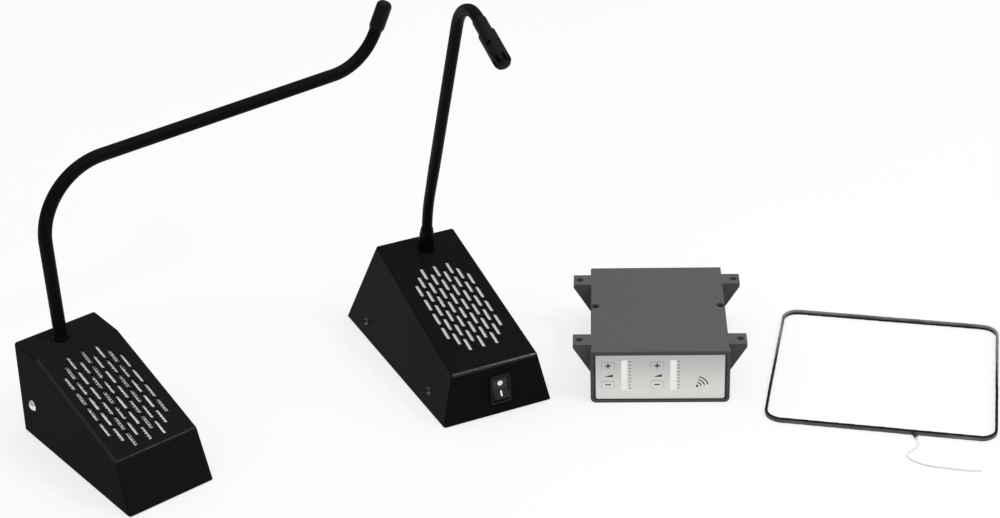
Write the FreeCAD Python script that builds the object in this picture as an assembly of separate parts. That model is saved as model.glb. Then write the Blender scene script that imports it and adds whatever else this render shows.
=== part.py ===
"""Teller window intercom: a staff unit, a customer unit, an amplifier and a small induction loop.

Millimetres, +Z up. The origin is the centre of the amplifier's base, on the surface that all four devices
stand on. +X is the amplifier's right, +Y runs from its front panel to its back. Each other device is made in
a frame of its own, x to its right, y from its front to its back, and is then turned and put in its place.
"""

import FreeCAD, Part
import math
import os

V = FreeCAD.Vector
X, Y, Z = V(1, 0, 0), V(0, 1, 0), V(0, 0, 1)

# ---------------------------------------------------------------- driving dimensions

# Where the devices stand: x, y and the turn about Z in degrees
STAFF_PLACE = (-111.6, -72.8, 26.5)
CUSTOMER_PLACE = (-320.3, -170.4, 41.6)
LOOP_PLACE = (145.5, -96.8, -10.2)

# Housings: bent sheet, as a side view (y, z) from the front foot round to the back foot,
# and the half width as a + b*y + c*z
SHEET = 1.5
BEND_RADIUS = 2.0
FOOT_GAP = 1.0
STAFF_PROFILE = [(0, 0), (2, 39.7), (143.6, 70.6), (174, 0)]
STAFF_SIDE = (40.5, 0.037, -0.222)
CUSTOMER_PROFILE = [(0, 0), (11.6, 37.5), (107.4, 69.5), (140.5, 69.5), (140.5, 0)]
CUSTOMER_SIDE = (31.8, 0.014, -0.04)

# Sound slots: columns across, slots along the slope, about x on the slope t above its front fold
SLOT_WIDTH, SLOT_LENGTH = 2.8, 13.6
SLOTS_IN_COLUMN = [4, 5, 6, 5, 6, 5, 6, 5, 4]
STAFF_SLOTS = dict(x=0.7, t=65.1, column_pitch=4.96, row_pitch=15.7)
CUSTOMER_SLOTS = dict(x=-0.5, t=50.65, column_pitch=5.35, row_pitch=15.3)
GRILLE_LENGTH, GRILLE_WIDTH, GRILLE_THICK = 96.0, 51.0, 0.5

# Loudspeaker, one size in both units
SPEAKER_LENGTH, SPEAKER_WIDTH, SPEAKER_FLANGE = 90.0, 50.0, 1.0
CONE_HALF_LENGTH, CONE_HALF_WIDTH, CONE_DEPTH = 40.0, 20.5, 9.0
VOICE_COIL_RADIUS, CONE_THICK = 9.0, 0.7
MAGNET_RADIUS, MAGNET_THICK = 16.0, 9.0
BASKET_DEPTH = 13.0
STUD_X, STUD_T, STUD_RADIUS, STUD_LENGTH = 21.5, 41.5, 1.5, 8.0

# Base plates, feet and side screws
PLATE, PLATE_GAP, PLATE_Z = 1.2, 0.2, 1.2
FLANGE_TOP = 18.0
FOOT_RADIUS = 5.0
STAFF_FEET = [(30, 16), (35, 156)]
CUSTOMER_FEET = [(24, 15), (24, 124)]
STAFF_SCREWS = [(30.6, 13.4), (140.3, 12.1)]
CUSTOMER_SCREWS = [(122.8, 27.6)]
STAFF_SCREW_HEAD, CUSTOMER_SCREW_HEAD = (2.85, 1.65), (3.9, 2.2)
SCREW_RADIUS, SCREW_LENGTH = 1.5, 6.0

# Cable grommets at the back, at this height
GROMMET_Z, GROMMET_BORE, GROMMET_NECK, GROMMET_LIP, LIP_THICK = 14.0, 2.5, 4.5, 6.0, 1.8

# Staff gooseneck, in the plane x = STAFF_NECK_X: square out of the slope, then by points (y, z)
STAFF_NECK_X, STAFF_NECK_RADIUS = 2.8, 4.0
STAFF_NECK_T, STAFF_NECK_RISE = 129.7, 37.9
STAFF_NECK_ROUTE = [(43.8, 282.8), (21.4, 290.8), (12.1, 286.8)]
STAFF_NECK_BENDS = [122.0, 30.0, 21.0]
STAFF_FLEX_FROM, STAFF_FLEX_TO = 24.0, 70.0
STAFF_TIP_FLEX_FROM = 207.0

# Customer gooseneck, in the plane y = CUSTOMER_NECK_Y, as points (x, z)
CUSTOMER_NECK_Y, CUSTOMER_NECK_RADIUS = 122.7, 4.6
CUSTOMER_NECK_ROUTE = [(-4.3, 69.5), (-4.3, 191.2), (257.6, 191.2), (270.4, 214.3)]
CUSTOMER_NECK_BENDS = [49.0, 44.0]
CUSTOMER_FLEX_FROM, CUSTOMER_FLEX_TO = 64.0, 160.0
CUSTOMER_TIP_FLEX_FROM = 330.0
NECK_WALL = 1.6

# Ferrules that hold the goosenecks, as (radius, height) above the sheet, and their nuts
STAFF_FERRULE = [(6.0, 0), (5.3, 13.5), (4.4, 19.0)]
CUSTOMER_FERRULE = [(5.3, 0), (5.3, 1.9), (5.0, 2.2)]
FERRULE_SPIGOT, SPIGOT_LENGTH, NUT_FLATS, NUT_THICK = 4.0, 8.0, 13.0, 3.0
WIRE_BORE = 2.4
SEAT_DEPTH = 1.0

# Microphones: sleeve, then barrel
STAFF_MIC = dict(sleeve=(4.7, 12.0), barrel=(5.8, 29.0), tip=4.2)
CUSTOMER_MIC = dict(sleeve=(4.9, 2.0), barrel=(5.65, 20.4), tip=4.4)
MIC_WALL, CAPSULE_LENGTH = 1.0, 10.0
MIC_CHAMFER = 0.3
TIP_SLOTS, TIP_SLOT_WIDTH, TIP_SLOT_LENGTH, TIP_SLOT_FROM_AXIS = 8, 2.3, 6.5, 3.7
VENT_WIDTH, VENT_HEIGHT, VENT_FROM_TIP = 4.2, 2.0, 18.0

# Rocker switch on the staff unit's front: x along the face, y up it, z out of it
SWITCH_X, SWITCH_Z = 2.3, 20.4
BEZEL_WIDTH, BEZEL_HEIGHT, BEZEL_THICK = 15.3, 21.5, 2.0
SWITCH_WIDTH, SWITCH_HEIGHT, SWITCH_DEPTH = 12.8, 19.2, 14.0
ROCKER_WIDTH, ROCKER_HALF, ROCKER_TILT = 11.0, 7.7, 11.0
ROCKER_OPENING_WIDTH, ROCKER_OPENING_HALF = 11.6, 8.75
ROCKER_PIVOT, PIVOT_RADIUS, PIVOT_CLEARANCE = -2.0, 1.2, 0.05
ROCKER_FACE, ROCKER_BACK = 1.0, -3.2

# Amplifier
AMP_WIDTH, AMP_DEPTH, AMP_HEIGHT, AMP_SPLIT = 95.0, 117.0, 41.0, 18.0
AMP_TOP_RADIUS, AMP_BOTTOM_RADIUS = 1.2, 3.2
RIM_PROUD, RIM_DEPTH, RIM_FRONT_EDGE, RIM_BACK_EDGE = 0.5, 5.0, 1.0, 0.45
CAVITY_WIDTH, CAVITY_LOW, CAVITY_HIGH = 88.8, 2.7, 37.4
PANEL_WIDTH, PANEL_LOW, PANEL_HIGH, PANEL_THICK, PANEL_INSET = 92.0, 1.5, 38.6, 2.0, 1.0
PANEL_BOTTOM_RADIUS, PANEL_TOP_RADIUS, PANEL_CLEARANCE = 2.6, 1.4, 0.1
LUG_REACH, LUG_WIDTH, LUG_CENTRE, LUG_PLATE, LUG_WEB = 60.0, 14.0, 41.5, 3.0, 2.0
LUG_HOLE_X, LUG_HOLE_RADIUS = 55.5, 2.5
CASE_SCREW_X, CASE_SCREW_Y, CASE_SCREW_HEAD, CASE_SCREW_SHANK = 44.2, 4.0, 2.7, 1.25
KEY_WIDTH, KEY_HEIGHT, KEY_RADIUS, KEY_CLEARANCE = 9.0, 6.0, 1.5, 0.15
KEY_COLUMNS = {"a": -35.8, "b": -2.1}
KEY_ROWS = {"up": 29.3, "down": 14.0}
KEY_TRAVEL = 0.5
LIGHT_BAR_X, LIGHT_BAR_LOW, LIGHT_BAR_HIGH, LIGHT_BAR_WIDTH = [-24.6, 9.1], 9.1, 33.6, 4.4
BOARD, BOARD_Z = 1.6, 7.0

# Back panel fittings: x of each
JACK_X, SOCKETS_X, TERMINAL_X = -32.0, [-11.0, 9.0], 31.0
FITTING_Z = BOARD_Z + BOARD

# Induction loop
LOOP_WIDTH, LOOP_DEPTH, LOOP_CORNER = 155.7, 147.3, 12.0
LOOP_BAND, LOOP_HEIGHT, LOOP_SKIN, LOOP_PLAY = 2.0, 4.0, 0.4, 0.05
LEAD_RADIUS, LEAD_EXIT_RADIUS, LEAD_EXIT_LENGTH = 0.6, 1.3, 5.0
LEAD_EXIT_X, LEAD_EXIT_TURN = 22.7, 26.5
LEAD_TIP_LENGTH, LEAD_TIP_RADIUS = 4.0, 0.35
LEAD_IN_SLEEVE, LEAD_STRAIGHT = 0.15, 7.0
LEAD_ROUTE = [
    (26.7, -9.5, 1.5), (25.9, -14.0, 0.8), (22.1, -19.0, 0.65), (19.5, -23.5, 0.65),
    (21.1, -28.3, 0.65), (26.1, -31.7, 0.65), (32.3, -33.7, 0.65), (39.2, -35.0, 0.65),
    (47.2, -34.8, 0.65), (55.7, -35.7, 0.65), (64.0, -34.9, 0.65),
]

# ---------------------------------------------------------------- helpers


def box(x, y, z):
    """A block between pairs of coordinates."""
    return Part.makeBox(x[1] - x[0], y[1] - y[0], z[1] - z[0], V(x[0], y[0], z[0]))


def rounded(width, height, radius, z):
    """A block centred on the Z axis whose corners are rounded, between two heights."""
    block = box((-width / 2, width / 2), (-height / 2, height / 2), z)
    upright = [e for e in block.Edges if abs(e.tangentAt(e.FirstParameter).z) > 0.9]
    return block.makeFillet(radius, upright)


def obround(width, length, z):
    """A slot-shaped block centred on the Z axis, its length along Y."""
    r, s = width / 2, length / 2 - width / 2
    edges = [
        Part.LineSegment(V(-r, -s, z[0]), V(-r, s, z[0])),
        Part.Arc(V(-r, s, z[0]), V(0, s + r, z[0]), V(r, s, z[0])),
        Part.LineSegment(V(r, s, z[0]), V(r, -s, z[0])),
        Part.Arc(V(r, -s, z[0]), V(0, -s - r, z[0]), V(-r, -s, z[0])),
    ]
    return Part.Face(Part.Wire([e.toShape() for e in edges])).extrude(V(0, 0, z[1] - z[0]))


def cylinder(radius, z, x=0.0, y=0.0):
    return Part.makeCylinder(radius, z[1] - z[0], V(x, y, z[0]))


def turned(profile):
    """A turned piece about the Z axis, from (radius, z) points."""
    points = [V(r, 0, z) for r, z in profile]
    return Part.Face(Part.makePolygon(points + points[:1])).revolve(V(), Z, 360)


def prism(outline, direction):
    """A block with this outline, pushed along a direction."""
    return Part.Face(Part.makePolygon(outline + outline[:1])).extrude(direction)


def join(shapes):
    """Shapes that touch or overlap, as one solid."""
    return shapes[0].multiFuse(shapes[1:]).removeSplitter()


def placed(shape, placement):
    moved = shape.copy()
    moved.Placement = placement.multiply(moved.Placement)
    return moved


def shifted(shape, x, y, z):
    return placed(shape, FreeCAD.Placement(V(x, y, z), FreeCAD.Rotation()))


def frame_at(origin, x_axis, z_axis):
    """The placement with its origin here, its X and Z axes along these directions."""
    return FreeCAD.Placement(origin, FreeCAD.Rotation(x_axis, z_axis.cross(x_axis), z_axis, "ZXY"))


def device_at(x, y, turn):
    return FreeCAD.Placement(V(x, y, 0), FreeCAD.Rotation(Z, turn))


def route_wire(points, radii):
    """Straight runs joined by tangent arcs, one radius at each inner point."""
    edges = []
    start = points[0]
    for before, corner, after, radius in zip(points, points[1:], points[2:], radii):
        back, ahead = (before - corner).normalize(), (after - corner).normalize()
        half_turn = (math.pi - back.getAngle(ahead)) / 2
        reach = radius * math.tan(half_turn)
        inward = (back + ahead).normalize()
        middle = corner + inward * (radius / math.cos(half_turn) - radius)
        arc_start, arc_end = corner + back * reach, corner + ahead * reach
        edges.append(Part.LineSegment(start, arc_start).toShape())
        edges.append(Part.Arc(arc_start, middle, arc_end).toShape())
        start = arc_end
    edges.append(Part.LineSegment(start, points[-1]).toShape())
    return Part.Wire(edges)


def part_of_wire(wire, start, end):
    """The stretch of a wire between two distances along it."""
    edges, passed = [], 0.0
    for edge in wire.OrderedEdges:
        low, high = max(start - passed, 0.0), min(end - passed, edge.Length)
        if high - low > 1e-6:
            first = edge.getParameterByLength(low)
            last = edge.getParameterByLength(high)
            edges.append(edge.Curve.toShape(first, last))
        passed += edge.Length
    return Part.Wire(edges)


def tube(wire, radius, bore=0.0):
    """A round tube, or a rod where it has no bore, along a wire."""
    first = wire.OrderedEdges[0]
    start, heading = first.valueAt(first.FirstParameter), first.tangentAt(first.FirstParameter)
    rings = [Part.Wire(Part.makeCircle(r, start, heading)) for r in (radius, bore) if r]
    solids = [wire.makePipeShell([ring], True, False) for ring in rings]
    return solids[0].cut(solids[1]) if bore else solids[0]


def inset(profile, distances):
    """The side view with each edge moved inwards by its own distance."""
    lines = []
    for (y0, z0), (y1, z1), distance in zip(profile, profile[1:] + profile[:1], distances):
        length = math.hypot(y1 - y0, z1 - z0)
        dy, dz = (y1 - y0) / length, (z1 - z0) / length
        lines.append((y0 + dz * distance, z0 - dy * distance, dy, dz))
    corners = []
    for (ya, za, dya, dza), (yb, zb, dyb, dzb) in zip(lines[-1:] + lines[:-1], lines):
        along = ((yb - ya) * dzb - (zb - za) * dyb) / (dya * dzb - dza * dyb)
        corners.append((ya + along * dya, za + along * dza))
    return corners


def narrowed(side, distance):
    """The side planes moved inwards, square to themselves."""
    a, b, c = side
    return (a - distance * math.sqrt(1 + b * b + c * c), b, c)


def wedge(profile, side):
    """The solid with this side view between two leaning side planes."""
    block = prism([V(-100, y, z) for y, z in profile], X * 200)
    beyond = box((-400, 400), (-400, 400), (0, 200))
    for sign in (-1, 1):
        block = block.cut(placed(beyond, side_frame(side, 0, 0, sign)))
    return block


def slope_frame(profile, t, x=0.0):
    """On the slope, t above its front fold: X across, Y up the slope, Z out of it."""
    (y0, z0), (y1, z1) = profile[1:3]
    up = V(0, y1 - y0, z1 - z0).normalize()
    return frame_at(V(x, y0, z0) + up * t, X, X.cross(up))


def side_frame(side, y, z, sign):
    """On a side wall, with Z out of it."""
    a, b, c = side
    out = V(sign, -b, -c).normalize()
    return frame_at(V(sign * (a + b * y + c * z), y, z), Y.cross(out).normalize(), out)


def back_frame(profile, z):
    """On the back wall at a height, with Z out of it."""
    (y0, z0), (y1, z1) = profile[-2:]
    y = y0 + (y1 - y0) * (z - z0) / (z1 - z0)
    return frame_at(V(0, y, z), X, V(0, z0 - z1, y1 - y0).normalize())


# ---------------------------------------------------------------- housings


def slot_places(slots):
    """The centres of the sound slots, across the slope and along it from the speaker's middle."""
    columns = len(SLOTS_IN_COLUMN)
    for column, count in enumerate(SLOTS_IN_COLUMN):
        across = slots["x"] + (column - (columns - 1) / 2) * slots["column_pitch"]
        for row in range(count):
            yield across, (row - (count - 1) / 2) * slots["row_pitch"]


def stud_places():
    return [(sx * STUD_X, st * STUD_T) for sx in (-1, 1) for st in (-1, 1)]


def housing(profile, side, slots, screws, neck_place):
    """Bent and welded sheet, open below, with its slots, holes and the speaker's welded studs."""
    outer = wedge(profile, side)
    folds = [e for e in outer.Edges if max(v.Z for v in e.Vertexes) > 1]
    outer = outer.makeFillet(BEND_RADIUS, folds)
    walls = [SHEET] * (len(profile) - 1)
    inner = wedge(inset(profile, walls + [-SHEET]), narrowed(side, SHEET))
    below = box((-100, 100), (-50, 250), (-20, FOOT_GAP))
    slope = slope_frame(profile, slots["t"])
    cuts = [inner, below]
    slot = obround(SLOT_WIDTH, SLOT_LENGTH, (-2 * SHEET, 1))
    for across, along in slot_places(slots):
        cuts.append(placed(shifted(slot, across, along, 0), slope))
    for y, z in screws:
        for sign in (-1, 1):
            cuts.append(placed(cylinder(SCREW_RADIUS + 0.1, (-4, 2)), side_frame(side, y, z, sign)))
    cuts.append(placed(cylinder(FERRULE_SPIGOT + 0.1, (-5, 2)), neck_place))
    cuts.append(placed(cylinder(GROMMET_NECK, (-5, 2)), back_frame(profile, GROMMET_Z)))
    shell = outer.cut(cuts)
    studs = [cylinder(STUD_RADIUS, (-SHEET - STUD_LENGTH, -SHEET), x, t) for x, t in stud_places()]
    return shell.multiFuse([placed(stud, slope) for stud in studs])


def base_plate(profile, side, screws, flange_tops):
    """A folded tray: floor plate with flanges up the side walls where the side screws go in."""
    gap = SHEET + PLATE_GAP
    walls = len(profile) - 1
    outer = wedge(inset(profile, [gap] * walls + [PLATE_Z]), narrowed(side, gap))
    inner_gap = gap + PLATE
    inner = wedge(inset(profile, [inner_gap] * walls + [PLATE_Z + PLATE]), narrowed(side, inner_gap))
    tray = outer.cut(inner)
    start = 0.0
    for end, top in flange_tops:
        tray = tray.cut(box((-100, 100), (start - 1e-3, end), (top, 100)))
        start = end
    for y, z in screws:
        for sign in (-1, 1):
            tray = tray.cut(placed(cylinder(SCREW_RADIUS + 0.05, (-9, 2)), side_frame(side, y, z, sign)))
    return tray


def feet(places):
    pads = [cylinder(FOOT_RADIUS, (0, PLATE_Z), sign * x, y) for x, y in places for sign in (-1, 1)]
    return Part.makeCompound(pads)


def dome(radius, height):
    """A dome on the XY plane."""
    ball = (radius**2 + height**2) / (2 * height)
    middle = math.asin(radius / ball) / 2
    outline = [
        Part.LineSegment(V(), V(radius, 0, 0)).toShape(),
        Part.Arc(
            V(radius, 0, 0),
            V(ball * math.sin(middle), 0, ball * math.cos(middle) - ball + height),
            V(0, 0, height),
        ).toShape(),
        Part.LineSegment(V(0, 0, height), V()).toShape(),
    ]
    return Part.Face(Part.Wire(outline)).revolve(V(), Z, 360)


def hexagon(flats, z):
    corners = [V(flats / math.sqrt(3) * math.cos(a), flats / math.sqrt(3) * math.sin(a), z[0])
               for a in (math.radians(60 * i) for i in range(6))]
    return prism(corners, V(0, 0, z[1] - z[0]))


def dome_screw(head, drive):
    """A dome-head screw along -Z with its drive cut in the head."""
    radius, height = head
    return join([dome(radius, height), cylinder(SCREW_RADIUS, (-SCREW_LENGTH, 0))]).cut(drive)


def side_screws(side, screws, head, drive):
    screw = dome_screw(head, drive)
    places = [side_frame(side, y, z, sign) for y, z in screws for sign in (-1, 1)]
    return Part.makeCompound([placed(screw, place) for place in places])


def grommet():
    """Rubber grommet with a lip on each side of the sheet, about the hole's axis."""
    return turned([
        (GROMMET_BORE, -SHEET - LIP_THICK), (GROMMET_LIP, -SHEET - LIP_THICK), (GROMMET_LIP, -SHEET),
        (GROMMET_NECK, -SHEET), (GROMMET_NECK, 0), (GROMMET_LIP, 0),
        (GROMMET_LIP - 0.8, LIP_THICK), (GROMMET_BORE, LIP_THICK),
    ])


# ---------------------------------------------------------------- loudspeaker, below the slope's sheet


def ellipse_ring(half_length, half_width, z):
    """An ellipse with its long axis up the slope."""
    ellipse = Part.Ellipse(V(0, half_length, z), V(half_width, 0, z), V(0, 0, z))
    return Part.Wire(ellipse.toShape())


def circle_ring(radius, z):
    return Part.Wire(Part.makeCircle(radius, V(0, 0, z)))


def bar(start, end, width, thick):
    """A strut between two points."""
    along = end - start
    strut = box((-width / 2, width / 2), (-thick / 2, thick / 2), (0, along.Length))
    return placed(strut, frame_at(start, along.cross(Z).normalize(), along.normalize()))


def ellipse_block(trim, z):
    """A block whose outline is the cone's ellipse, larger or smaller all round by the trim."""
    outline = ellipse_ring(CONE_HALF_LENGTH + trim, CONE_HALF_WIDTH + trim, z[0])
    return Part.Face(outline).extrude(V(0, 0, z[1] - z[0]))


def funnel(trim, mouth, neck):
    """A solid funnel from the cone's ellipse down to the voice coil."""
    rings = [
        ellipse_ring(CONE_HALF_LENGTH - 3 - trim, CONE_HALF_WIDTH - 3 - trim, mouth),
        circle_ring(VOICE_COIL_RADIUS - trim, neck + trim),
    ]
    return Part.makeLoft(rings, True)


def speaker():
    """The speaker's frame, cone, magnet and nuts, in the slope's frame."""
    top = -SHEET - GRILLE_THICK
    low = top - SPEAKER_FLANGE
    back = low - BASKET_DEPTH
    flange = rounded(SPEAKER_WIDTH, SPEAKER_LENGTH, 5.0, (low, top))
    flange = flange.cut(ellipse_block(1, (low - 1, top + 1)))
    ring = cylinder(MAGNET_RADIUS, (back - 1.2, back))
    ring = ring.cut(cylinder(VOICE_COIL_RADIUS + 2.5, (back - 2, back + 1)))
    struts = []
    for sx in (-1, 1):
        for st in (-1, 1):
            rim = V(sx * (CONE_HALF_WIDTH + 0.6), st * (CONE_HALF_LENGTH - 3.8), low + 0.5)
            hub = V(sx * 8.6, st * 11.0, back - 0.5)
            struts.append(bar(rim, hub, 5.0, 1.0))
    frame = flange.multiFuse([ring] + struts)
    frame = frame.cut([cylinder(STUD_RADIUS + 0.1, (low - 6, top + 1), x, t) for x, t in stud_places()])

    mouth, neck = low - 0.1, low - CONE_DEPTH
    paper = funnel(0, mouth, neck).cut(funnel(CONE_THICK, mouth, neck))
    surround = ellipse_block(0.9, (mouth, mouth + 0.6)).cut(ellipse_block(-3.5, (mouth - 1, mouth + 2)))
    coil = cylinder(VOICE_COIL_RADIUS, (back - 3, neck))
    coil = coil.cut(cylinder(VOICE_COIL_RADIUS - CONE_THICK, (back - 4, neck)))
    cap = shifted(dome(VOICE_COIL_RADIUS - CONE_THICK, 3.0), 0, 0, neck + CONE_THICK)
    cone = join([paper, surround, coil, cap])

    top_plate = back - 1.2
    core_end = top_plate - 4 - MAGNET_THICK
    gap = VOICE_COIL_RADIUS + 0.3
    hole = cylinder(gap, (core_end, top_plate + 1))
    magnet = join([
        cylinder(MAGNET_RADIUS, (top_plate - 2, top_plate)).cut(hole),
        cylinder(MAGNET_RADIUS - 1, (core_end + 2, top_plate - 2)).cut(hole),
        cylinder(MAGNET_RADIUS, (core_end, core_end + 2)),
        cylinder(gap - 1.5, (core_end, top_plate - 0.5)),
    ])
    nut = hexagon(5.5, (low - 2.4, low)).cut(cylinder(STUD_RADIUS, (low - 3, low + 1)))
    nuts = [shifted(nut, x, t, 0) for x, t in stud_places()]
    return {"speaker_frame": frame, "speaker_cone": cone, "speaker_magnet": magnet,
            "speaker_nuts": Part.makeCompound(nuts)}


def grille_sheet():
    """The sheet behind the slots, with holes for the studs."""
    sheet = rounded(GRILLE_WIDTH, GRILLE_LENGTH, 4.0, (-SHEET - GRILLE_THICK, -SHEET))
    return sheet.cut([cylinder(STUD_RADIUS + 0.1, (-5, 0), x, t) for x, t in stud_places()])


# ---------------------------------------------------------------- goosenecks


def ferrule(outline, neck_radius):
    """A turned collar with a threaded spigot through the sheet; the neck stands in its seat."""
    reach = -SHEET - SPIGOT_LENGTH
    inner = [(WIRE_BORE, reach), (FERRULE_SPIGOT, reach), (FERRULE_SPIGOT, 0)]
    top = outline[-1][1]
    return turned(inner + outline + [(neck_radius, top), (neck_radius, SEAT_DEPTH), (WIRE_BORE, SEAT_DEPTH)])


def ferrule_nut():
    low = -SHEET - NUT_THICK
    return hexagon(NUT_FLATS, (low, -SHEET)).cut(cylinder(FERRULE_SPIGOT, (low - 1, 0)))


def neck_pieces(device, wire, radius, cuts, names):
    """The neck cut into its stretches, at these distances along it."""
    return {f"{device}_neck_{name}": tube(part_of_wire(wire, start, end), radius, radius - NECK_WALL)
            for name, start, end in zip(names, cuts, cuts[1:])}


def mic_frame(wire, across):
    """At the end of the neck: Z on along it, X square to the neck's plane."""
    last = wire.OrderedEdges[-1]
    return frame_at(last.valueAt(last.LastParameter), across, last.tangentAt(last.LastParameter))


def mic_outline(mic):
    """The turned outside of a microphone from its sleeve to its round tip, as (radius, z)."""
    sleeve_radius, sleeve = mic["sleeve"]
    radius, length = mic["barrel"]
    tip = mic["tip"]
    end = sleeve + length
    points = [(0, 0), (sleeve_radius - MIC_CHAMFER, 0), (sleeve_radius, MIC_CHAMFER)]
    points += [(sleeve_radius, sleeve - 1.0), (radius, sleeve + 0.6)]
    for step in range(7):
        angle = math.radians(90 * step / 6)
        points.append((radius - tip * (1 - math.cos(angle)), end - tip + tip * math.sin(angle)))
    return points + [(0, end)]


def microphone(mic):
    """The barrel, hollow behind its tip, and the capsule in it."""
    radius, length = mic["barrel"]
    end = mic["sleeve"][1] + length
    bore = radius - MIC_WALL
    body = turned(mic_outline(mic))
    hollow_end = end - MIC_WALL
    round_end = mic["tip"] - MIC_WALL
    hollow = [(0, end - length + 4), (bore, end - length + 4), (bore, hollow_end - round_end)]
    capsule_end = hollow_end - round_end
    for step in range(1, 5):
        angle = math.radians(90 * step / 4)
        hollow.append((bore - round_end * (1 - math.cos(angle)), capsule_end + round_end * math.sin(angle)))
    body = body.cut(turned(hollow + [(0, hollow_end)]))
    capsule = join([
        cylinder(bore, (capsule_end - CAPSULE_LENGTH, capsule_end)),
        shifted(dome(bore - 0.6, round_end - 0.6), 0, 0, capsule_end),
    ])
    return body, capsule, end


def staff_microphone():
    """Sound slots run back from the tip, and small vents go in behind the capsule."""
    body, capsule, end = microphone(STAFF_MIC)
    radius = STAFF_MIC["barrel"][0]
    slot = obround(TIP_SLOT_WIDTH, 2 * TIP_SLOT_LENGTH, (TIP_SLOT_FROM_AXIS, radius + 1))
    for index in range(TIP_SLOTS):
        turn = FreeCAD.Rotation(Z, 360 * index / TIP_SLOTS)
        upright = FreeCAD.Placement(V(0, 0, end), turn.multiply(FreeCAD.Rotation(X, 90)))
        body = body.cut(placed(slot, upright))
    vent = obround(VENT_HEIGHT, VENT_WIDTH, (radius - MIC_WALL - 0.5, radius + 1))
    for quarter in range(4):
        turn = FreeCAD.Rotation(Z, 45 + 90 * quarter)
        flat = turn.multiply(FreeCAD.Rotation(Y, 90))
        body = body.cut(placed(vent, FreeCAD.Placement(V(0, 0, end - VENT_FROM_TIP), flat)))
    return body, capsule


def customer_microphone():
    """A ring of small sound holes round one in the middle of the tip."""
    body, capsule, end = microphone(CUSTOMER_MIC)
    turns = [math.radians(60 * i) for i in range(6)]
    holes = [(0.0, 0.0)] + [(2.6 * math.cos(turn), 2.6 * math.sin(turn)) for turn in turns]
    body = body.cut([cylinder(0.6, (end - 4, end + 1), x, y) for x, y in holes])
    return body, capsule


# ---------------------------------------------------------------- rocker switch


def switch_body():
    """Moulded body that snaps into the front wall, with its bezel outside."""
    bezel = rounded(BEZEL_WIDTH, BEZEL_HEIGHT, 1.5, (0, BEZEL_THICK))
    rim = [e for e in bezel.Edges if all(v.Z > BEZEL_THICK - 1e-6 for v in e.Vertexes)]
    bezel = bezel.makeFillet(0.7, rim)
    half_width, half_height = SWITCH_WIDTH / 2, SWITCH_HEIGHT / 2
    body = box((-half_width, half_width), (-half_height, half_height), (-SWITCH_DEPTH, 0))
    cavity = box(
        (-ROCKER_OPENING_WIDTH / 2, ROCKER_OPENING_WIDTH / 2),
        (-ROCKER_OPENING_HALF, ROCKER_OPENING_HALF),
        (-SWITCH_DEPTH + 1.5, BEZEL_THICK + 1),
    )
    axle = Part.makeCylinder(PIVOT_RADIUS + PIVOT_CLEARANCE, 20, V(-10, 0, ROCKER_PIVOT), X)
    slots = [box((-2.4, 2.4), (y - 0.4, y + 0.4), (-20, -SWITCH_DEPTH + 3)) for y in (-6, 6)]
    return join([bezel, body]).cut([cavity, axle] + slots)


def switch_tabs():
    """Two flat terminals through the floor of the switch."""
    blade = [box((-2.4, 2.4), (y - 0.4, y + 0.4), (-SWITCH_DEPTH - 7, -SWITCH_DEPTH + 3)) for y in (-6, 6)]
    return Part.makeCompound(blade)


def switch_rocker():
    """The rocker with its two axle stubs, tilted with its upper half pressed in."""
    rise = ROCKER_HALF * math.tan(math.radians(ROCKER_TILT))
    outline = [
        V(0, ROCKER_HALF, ROCKER_FACE + rise), V(0, 0, ROCKER_FACE), V(0, -ROCKER_HALF, ROCKER_FACE + rise),
        V(0, -ROCKER_HALF + 1.4, ROCKER_BACK), V(0, ROCKER_HALF - 1.4, ROCKER_BACK),
    ]
    block = prism([p - X * (ROCKER_WIDTH / 2) for p in outline], X * ROCKER_WIDTH)
    ends = [e for e in block.Edges if abs(e.tangentAt(e.FirstParameter).x) > 0.9 and e.CenterOfMass.z > 2]
    block = block.makeFillet(0.5, ends)
    stub = ROCKER_OPENING_WIDTH + 0.8
    axle = Part.makeCylinder(PIVOT_RADIUS, stub, V(-stub / 2, 0, ROCKER_PIVOT), X)
    rocker = join([block, axle])
    rocker.rotate(V(0, 0, ROCKER_PIVOT), X, -ROCKER_TILT)
    return rocker


# ---------------------------------------------------------------- amplifier


def case_tube(width, low, high, bottom_radius, top_radius, y):
    """A block along Y whose four long edges are rounded."""
    block = box((-width / 2, width / 2), y, (low, high))
    for radius, level in ((bottom_radius, low), (top_radius, high)):
        edges = [e for e in block.Edges
                 if abs(e.tangentAt(e.FirstParameter).y) > 0.9 and abs(e.CenterOfMass.z - level) < 1e-3]
        block = block.makeFillet(radius, edges)
    return block


def panel_block(clearance, y):
    """The outline of a front or back panel as a block along Y, smaller by the clearance all round."""
    return case_tube(PANEL_WIDTH - 2 * clearance, PANEL_LOW + clearance, PANEL_HIGH - clearance,
                     PANEL_BOTTOM_RADIUS - clearance, PANEL_TOP_RADIUS - clearance, y)


def front_rim():
    """The slightly thicker rim round the front of the case, its outer edges rounded."""
    width, high = AMP_WIDTH + 2 * RIM_PROUD, AMP_HEIGHT + RIM_PROUD
    y = (-AMP_DEPTH / 2, RIM_DEPTH - AMP_DEPTH / 2)
    rim = case_tube(width, 0, high, AMP_BOTTOM_RADIUS, AMP_TOP_RADIUS, y)
    for radius, level in ((RIM_FRONT_EDGE, y[0]), (RIM_BACK_EDGE, y[1])):
        ends = [e for e in rim.Edges if e.BoundBox.YLength < 1e-3 and e.CenterOfMass.z > 0.1
                and abs(e.CenterOfMass.y - level) < 1e-3]
        rim = rim.makeFillet(radius, ends)
    return rim


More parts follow.
